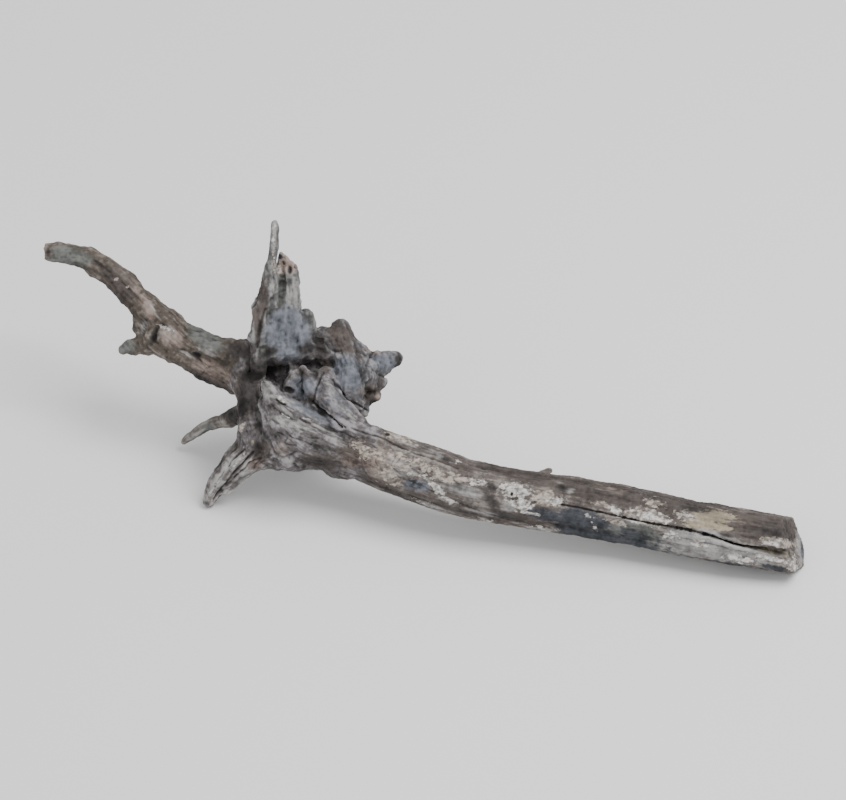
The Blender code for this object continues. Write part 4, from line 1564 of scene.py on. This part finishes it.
# Each row is (column, row, half_long, half_wide, lean, strength)
PATCHES = {stain: tuple(Patch(*row) for row in rows) for stain, rows in {
    Stain.BARK: (
        (520, 474, 55, 9, 13, 1.5), (600, 490, 60, 13, 9, 1.8), (690, 507, 60, 12, 9, 1.8),
        (762, 525, 42, 17, 9, 2), (457, 464, 22, 5, 20, 1), (352, 452, 26, 18, 20, 0.8),
        (385, 486, 34, 7, 27, 1), (430, 502, 50, 7, 18, 0.6), (520, 518, 50, 8, 12, 0.6),
        (301, 376, 7, 10, 10, 0.9), (248, 390, 14, 34, 8, 1.6), (320, 461, 24, 9, 10, 1.4),
        (262, 306, 46, 8, 100, 0.9), (345, 348, 24, 12, 38, 1), (340, 334, 20, 14, 35, 1.6),
        (328, 364, 12, 12, 0, 0.9), (372, 392, 14, 18, 20, 0.8), (120, 284, 34, 16, 42, 1),
        (205, 378, 42, 5, 27, 1.2), (240, 350, 14, 10, 10, 1.4), (232, 416, 12, 10, 0, 1.4),
        (262, 450, 14, 10, -30, 1),
    ),
    Stain.GREEN: (
        (632, 536, 36, 16, 12, 1.8), (283, 288, 28, 5, 90, 1.8), (266, 352, 12, 10, 0, 1),
        (68, 257, 26, 13, 8, 1.6), (205, 338, 26, 11, 25, 1.3), (128, 347, 11, 9, -20, 1.1),
        (207, 428, 14, 6, -30, 1),
    ),
    Stain.GREY: (
        (408, 442, 22, 5, 20, 0.8), (432, 451, 20, 4, 24, 0.6), (396, 463, 28, 12, 15, 0.9),
        (462, 489, 26, 8, 14, 0.8), (508, 506, 10, 8, 20, 0.8), (568, 491, 6, 4, 0, 0.8),
        (585, 522, 7, 3, 10, 0.7), (432, 505, 22, 3, 20, 0.8), (482, 511, 22, 3, 15, 0.8),
        (540, 528, 20, 3, 8, 0.8), (705, 543, 52, 15, 13, 2.2), (797, 540, 6, 28, 0, 1.4),
        # The ovals at (338, 358) and (351, 374) are painted highlights on the flared root's face
        (735, 552, 44, 11, 12, 1.8), (680, 547, 34, 9, 12, 1.2), (338, 358, 8, 6, 30, 0.6),
        (351, 374, 9, 4, 65, 0.6), (378, 362, 8, 5, 0, 0.9), (388, 362, 5, 4, 0, 0.6),
        (268, 391, 8, 12, -30, 1.1), (298, 424, 26, 2, 24, 1), (322, 428, 18, 2, 27, 1),
        (286, 410, 14, 2, 35, 1), (300, 408, 26, 6, 30, 0.7), (290, 424, 24, 8, 15, 0.6),
        # The oval at (348, 412) is a painted highlight on the facet's lower edge
        (294, 376, 4, 9, 20, 0.7), (332, 392, 4, 14, -30, 0.7), (348, 412, 14, 4, 52, 0.9),
        (283, 447, 8, 6, 0, 0.6), (283, 457, 14, 4, 25, 0.4), (270, 470, 10, 3, 0, 0.5),
        (340, 442, 16, 3, 25, 0.6), (275, 238, 19, 3, 90, 2), (294, 294, 18, 6, 90, 1.2),
        (273, 288, 14, 4, 100, 1), (153, 308, 14, 2.4, 58, 0.6), (144, 326, 6, 9, 0, 0.9),
        (171, 334, 12, 9, 10, 1), (208, 351, 12, 5, 25, 0.7), (185, 352, 10, 2.4, 30, 0.6),
        (194, 436, 12, 4, -30, 1.1), (222, 476, 26, 4, -54, 1.2), (238, 462, 12, 3.4, -52, 1.3),
        (246, 476, 14, 5, -32, 0.9),
    ),
    Stain.BLUE: (
        (416, 484, 16, 8, 15, 1), (799, 548, 4, 14, 0, 0.6), (288, 335, 26, 31, 0, 1.9),
        (348, 372, 18, 24, -25, 1.3), (384, 362, 16, 10, 0, 1.2), (304, 388, 18, 14, 0, 1),
        (312, 412, 40, 9, 27, 0.6), (340, 400, 20, 24, 0, 0.4),
    ),
    Stain.RED: (
        (376, 460, 26, 14, 18, 0.6), (610, 488, 18, 4, 10, 0.35), (752, 524, 18, 4, 10, 0.3),
        (372, 351, 12, 3, 8, 0.8), (378, 398, 8, 5, 30, 0.6), (282, 448, 12, 8, 0, 0.4),
        (256, 462, 10, 7, 0, 0.6), (350, 462, 16, 8, 15, 0.5), (289, 265, 12, 13, 10, 1.4),
        (48, 253, 5, 9, 0, 1.1), (149, 308, 20, 5, 58, 0.9), (136, 290, 8, 4, 45, 0.6),
        (173, 337, 15, 13, 10, 0.7), (212, 370, 32, 9, 27, 0.6), (258, 464, 12, 6, -30, 0.8),
    ),
    Stain.CHAR: (
        (414, 484, 12, 6, 15, 0.45), (545, 514, 26, 7, 9, 1.3), (580, 523, 30, 18, 12, 2),
        # The ovals at (769, 566) and (740, 566) paint shade along the trunk's lower end
        (632, 539, 32, 16, 12, 0.75), (769, 566, 18, 4, 14, 1), (740, 566, 46, 4, 10, 0.8),
        (600, 536, 34, 9, 11, 1.4), (640, 547, 44, 7, 11, 0.7),
    ),
    Stain.CREAM: (
        (772, 550.5, 17, 3, 8, 1.2), (697, 519, 21, 9, 8, 1.6), (716, 514, 17, 6, 10, 1.2),
        (712, 524, 20, 4, 10, 1.2), (254, 442, 2.4, 1.6, 40, 0.7),
    ),
    Stain.BUFF: (
        (401, 438, 14, 4.5, 20, 0.8), (379, 455, 11, 4.5, 60, 1), (398, 456, 12, 5, 20, 0.7),
        (412, 461, 12, 5, 20, 0.9), (424, 466, 10, 6, 60, 0.8), (403, 467, 10, 5, 0, 0.7),
        (443, 477, 14, 5, 15, 0.8), (462, 479, 13, 4, 10, 0.8), (546, 498, 18, 8, 8, 1),
        (599, 503, 9, 2.6, 12, 0.7), (650, 501, 10, 4, 20, 0.5), (645, 514, 23, 7, 12, 1.6),
        (774, 541, 19, 5, 8, 1.7), (684, 515, 12, 7, 10, 0.8), (612, 520, 12, 2.4, 14, 0.5),
        (366, 450, 12, 6, 30, 0.5), (388, 472, 14, 7, 40, 0.5), (436, 470, 12, 4, 20, 0.5),
        (243, 427, 5.5, 2.2, -50, 0.6), (275, 262, 13, 1.4, 85, 0.9), (281, 271, 7, 1.8, 80, 0.8),
        (116, 279, 2.2, 1.6, 0, 0.4), (129, 287, 2.2, 1.6, 0, 0.4),
    ),
    Stain.PALE: (
        (414, 474, 10, 2.6, 10, 1.2), (436, 487, 15, 3.6, 48, 1.1), (447, 499, 12, 2.6, 18, 1.2),
        (480, 482, 11, 3.4, 5, 0.6), (514, 489, 17, 8, 8, 1.5), (520, 503, 12, 7, 20, 0.8),
        (527, 512, 14, 1.7, 10, 1.3), (553, 500, 9, 4, 10, 0.6), (457, 461, 3.5, 2, 0, 0.6),
        (425, 503, 12, 1.8, 20, 0.6), (484, 519, 10, 1.5, 12, 0.7), (545, 528, 12, 2, 10, 0.6),
        (614, 509, 8, 3.6, 14, 1.3), (647, 514, 19, 5, 14, 1), (680, 514, 8, 4, 0, 0.6),
        (768, 541, 10, 3, 5, 0.6), (632, 519, 22, 2.2, 14, 0.9), (668, 534, 9, 4, 0, 0.8),
        (698, 543, 10, 4, 10, 0.7), (735, 557, 16, 4, 8, 1.1), (768, 557, 20, 2.6, 12, 1),
        (790, 566, 6, 5, 0, 0.9), (789, 561, 4, 8, 0, 0.7), (586, 514, 4, 2, 20, 0.4),
        (593, 525, 3.4, 2, 50, 0.4), (281.5, 398.5, 6, 2.2, 38, 1.6),
        # The thin streak at (275, 238) is a painted highlight down the needle
        (307, 418.5, 6, 1.2, 20, 0.8), (285, 415, 5, 1.2, 30, 0.5), (275, 238, 15, 1.6, 90, 0.6),
        (165, 328, 7, 1.6, 20, 0.5), (216, 485, 14, 1.5, -60, 0.8), (238, 462, 9, 1.3, -52, 0.6),
    ),
    # Dark wood on the trunk, and painted shade round the crown's hollow, under ledges, in gaps and
    # along edges turned from the light
    Stain.DARK_WOOD_AND_SHADE: (
        (690, 506, 46, 10, 9, 0.9), (766, 529, 34, 11, 9, 1.1), (645, 494, 34, 7, 9, 0.9),
        (596, 490, 46, 8, 9, 0.7), (491, 486, 9, 5, 30, 1.4), (490, 499, 16, 8, 60, 1.3),
        (505, 514, 24, 6, 14, 1.4), (468, 505, 26, 4.5, 18, 1), (446, 459, 8, 4, 20, 1.5),
        (560, 487, 10, 4.5, 10, 1.5), (390, 490, 40, 5, 25, 0.9), (470, 513, 60, 5, 14, 0.6),
        (620, 548, 60, 5, 10, 0.7), (272, 351, 13, 7, -10, 1.4), (306, 350, 11, 9, 0, 1.3),
        (718, 516, 22, 8, 8, 0.45), (774, 551, 24, 5, 8, 1), (800, 542, 4, 22, 0, 0.6),
        (720, 533, 16, 4, 20, 0.9), (281, 258, 4, 4, 0, 1.6), (291, 271, 3.4, 6, 0, 1.8),
        (302, 436, 10, 3, 20, 0.6), (288, 436, 12, 3, 10, 0.5), (330, 448, 14, 5, 30, 0.6),
        (297, 461, 6, 5, 60, 0.7), (270, 452, 5, 9, 0, 0.6), (270.6, 242, 22, 1.8, 92, 1.2),
        (49, 252, 5, 9, 0, 1.3), (155, 335, 11, 5, 112, 1.6), (198, 355, 7, 4.5, 20, 1.8),
        (222, 462, 24, 3.4, -56, 0.9), (232, 480, 24, 3, -52, 0.9), (207, 503, 6, 4, 0, 0.9),
        (268, 368, 30, 12, -5, 1.6), (254, 374, 16, 10, 0, 2), (248, 392, 38, 16, 95, 1.6),
        (262, 430, 22, 6, 70, 0.6), (321, 345, 26, 11, 75, 1.5), (308, 362, 30, 8, 0, 1.3),
        (317, 375, 8, 9, 0, 1), (312, 396, 10, 6, 60, 1.2), (304, 374, 8, 3, 80, 1),
        (285, 384, 4, 12, 20, 0.9), (281, 305, 9, 5, -60, 0.7), (281, 258, 5, 4, 0, 0.9),
        (266, 296, 34, 2.4, 104, 0.8), (262, 330, 20, 3, 98, 0.9), (264, 356, 12, 10, 0, 1),
        (309, 346, 8, 12, 20, 0.9), (308, 316, 8, 9, 0, 0.7), (399, 359, 7, 12, 0, 1.2),
        (336, 326, 14, 8, 20, 0.7), (361, 372, 20, 4, 72, 0.8), (372, 400, 12, 10, 0, 0.8),
        (344, 398, 26, 3, 48, 0.7), (318, 410, 24, 3, 38, 0.8), (233, 414, 18, 12, 20, 1.2),
        (318, 462, 28, 7, 12, 1.2), (258, 446, 20, 8, -30, 0.9), (240, 352, 24, 14, 20, 1.2),
        (205, 380, 48, 5, 27, 1.2), (84, 268, 34, 4, 20, 0.7), (118, 300, 30, 5, 52, 0.9),
        (135, 324, 12, 3, 90, 0.8),
    ),
    # Painted shade in the crown's hollow and its pockets, and dirt in small notches
    Stain.DIRT_AND_SHADE: (
        (388, 434, 3, 2, 0, 0.8), (511, 493, 1.8, 2.6, 0, 1), (272, 375, 16, 8, 10, 0.6),
        (254, 376, 13, 7, 0, 1.3), (290, 390, 7, 4, 20, 1.2), (311, 401, 6, 4, 30, 0.9),
        (244, 408, 7, 12, 10, 0.8),
    ),
}.items()}


@dataclass(frozen=True)
class Driftwood:
    """The whole piece of wood, parted at its forks and dressed. The crown is the last limb."""

    limbs: tuple[Limb, ...]
    carver: Carver = Carver()
    dresser: Dresser = Dresser()

    def bundles(self) -> list[Stations]:
        """Gather the strands, with the muscles of fluted stems.

        Returns:
            Every strand of every limb.
        """
        strands: list[Stations] = []
        for limb in self.limbs:
            for name, stations in limb.strands.items():
                if name == "stem" and limb.muscles:
                    strands += self.carver.fluted(stations, limb.muscles)
                else:
                    strands.append(stations)
        return strands

    def build(self) -> list[bpy.types.Object]:
        """Shape, roughen, stain and part the wood.

        Returns:
            One dressed object per node.
        """
        skin = Skin(self.carver.skin(self.bundles(), HOLLOWS, CRACKS, FLATS))
        weather = Weather(skin, GRAIN_LINES)
        weather.roughen(PITS, SEAMS)
        forks = {index: limb.fork for index, limb in enumerate(self.limbs) if limb.fork is not None}
        fields = weather.stain(PATCHES, list(forks.values()))
        centres = skin.points[skin.faces].mean(axis=1)
        owner = np.full(len(centres), len(self.limbs) - 1)
        for index, fork in forks.items():
            owner[fork.holds(centres)] = index
        normals = skin.normals()
        return [
            self.piece(limb, weather, fields, normals, skin.faces[owner == index])
            for index, limb in enumerate(self.limbs)
        ]

    def piece(self, limb: Limb, weather: Weather, fields: dict[str, np.ndarray],
              normals: np.ndarray, faces: np.ndarray) -> bpy.types.Object:
        """Make one limb's object.

        Args:
            limb: The limb.
            weather: The whole skin with the grain over it.
            fields: The stains over it.
            normals: The whole skin's normals.
            faces: The limb's faces, as rows of vertex numbers of the whole skin.

        Returns:
            The dressed object.
        """
        used, corners = np.unique(faces, return_inverse=True)
        rows = corners.reshape(-1, 4).tolist()
        mesh = bpy.data.meshes.new(limb.node + "_skin")
        mesh.from_pydata(weather.skin.points[used] * MM, [],
                         [row if row[2] != row[3] else row[:3] for row in rows])
        mesh.shade_smooth()
        mesh.normals_split_custom_set_from_vertices(normals[used])
        leads = weather.leads[:, used]
        strongest = np.argsort(-leads.sum(axis=1))[:GUIDES]
        share = leads[strongest] / leads[strongest].sum(axis=0)
        for place, index in enumerate(strongest):
            self.write(mesh, f"grain_{place}", weather.grain[index][used])
            self.write(mesh, f"lead_{place}", share[place])
        for name, values in fields.items():
            self.write(mesh, name, values[used])
        mesh.materials.append(self.dresser.wood(limb.node, limb.finish))
        piece = link(bpy.data.objects.new(limb.node + "_wood", mesh))
        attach(piece, "root")
        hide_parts(limb.node)
        LOG.info("%s: %d faces", piece.name, len(mesh.polygons))
        return piece

    @staticmethod
    def write(mesh: bpy.types.Mesh, name: str, values: np.ndarray) -> None:
        """Store a field of one number or one vector per vertex on the mesh."""
        kind, entry = ("FLOAT", "value") if values.ndim == 1 else ("FLOAT_VECTOR", "vector")
        mesh.attributes.new(name, kind, "POINT").data.foreach_set(
            entry, np.ravel(values).astype(np.float32))


@dataclass(frozen=True)
class Lamp:
    """A square soft lamp."""

    name: str
    place: Place
    size: float
    watts: float


@dataclass(frozen=True)
class Studio:
    """A pale floor, soft light and the photograph's camera. Lengths are in metres."""

    distance: float = 9.0
    sensor: float = 36.0
    floor_size: float = 14.0
    floor_drop: float = 0.0006
    floor_shade: float = 0.92
    floor_roughness: float = 0.9
    floor_specular: float = 0.1
    lamps: tuple[Lamp, ...] = (
        Lamp("key", (1.0, -0.2, 2.2), 1.4, 52),
        Lamp("fill", (-1.4, -1.6, 1.4), 1.8, 8),
    )
    lamp_target: Place = (0.0, 0.0, 0.08)
    sky: float = 0.72

    def floor(self) -> bpy.types.Object:
        """Lay the floor.

        Returns:
            The floor.
        """
        shape = bmesh.new()
        bmesh.ops.create_grid(shape, x_segments=2, y_segments=2, size=self.floor_size / 2)
        material = bpy.data.materials.new("pale_floor")
        Wiring(material).coat((self.floor_shade,) * 3, self.floor_roughness, self.floor_specular)
        floor = link(moulded("floor", shape))
        floor.data.materials.append(material)
        floor.location = (0, 0, -self.floor_drop)
        return floor

    def light(self) -> None:
        """Light the wood from above with soft lamps and a bright sky."""
        for lamp in self.lamps:
            data = bpy.data.lights.new(lamp.name, "AREA")
            data.size = lamp.size
            data.energy = lamp.watts
            stand = link(bpy.data.objects.new(lamp.name, data))
            stand.location = lamp.place
            aim = Vector(self.lamp_target) - Vector(lamp.place)
            stand.rotation_euler = aim.to_track_quat("-Z", "Y").to_euler()
        world = bpy.data.worlds.new("sky")
        world.use_nodes = True
        background = world.node_tree.nodes["Background"]
        background.inputs["Color"].default_value = (1, 1, 1, 1)
        background.inputs["Strength"].default_value = self.sky
        bpy.context.scene.world = world

    def camera(self) -> bpy.types.Object:
        """Set the camera up.

        Returns:
            The camera, which sees what the photograph shows.
        """
        data = bpy.data.cameras.new("camera")
        data.sensor_width = self.sensor
        data.lens = self.sensor * self.distance / (VIEW.photo_size[0] * VIEW.mm_per_pixel * MM)
        camera = link(bpy.data.objects.new("camera", data))
        up = Vector((0, math.sin(VIEW.elevation), math.cos(VIEW.elevation)))
        rise = VIEW.centre_rise - VIEW.middle_depth * math.sin(VIEW.elevation)
        target = Vector((-VIEW.middle_across * MM, 0, 0)) + up * rise * MM
        camera.location = target + Vector(VIEW.toward()) * self.distance
        camera.rotation_euler = (math.pi / 2 - VIEW.elevation, 0, 0)
        bpy.context.scene.camera = camera
        return camera


def main() -> None:
    """Build the wood, the stage, the lights and the camera."""
    logging.basicConfig(level=logging.INFO, format="%(name)s: %(message)s")
    Driftwood(LIMBS).build()
    studio = Studio()
    studio.floor()
    studio.light()
    studio.camera()


if __name__ == "__main__":
    main()
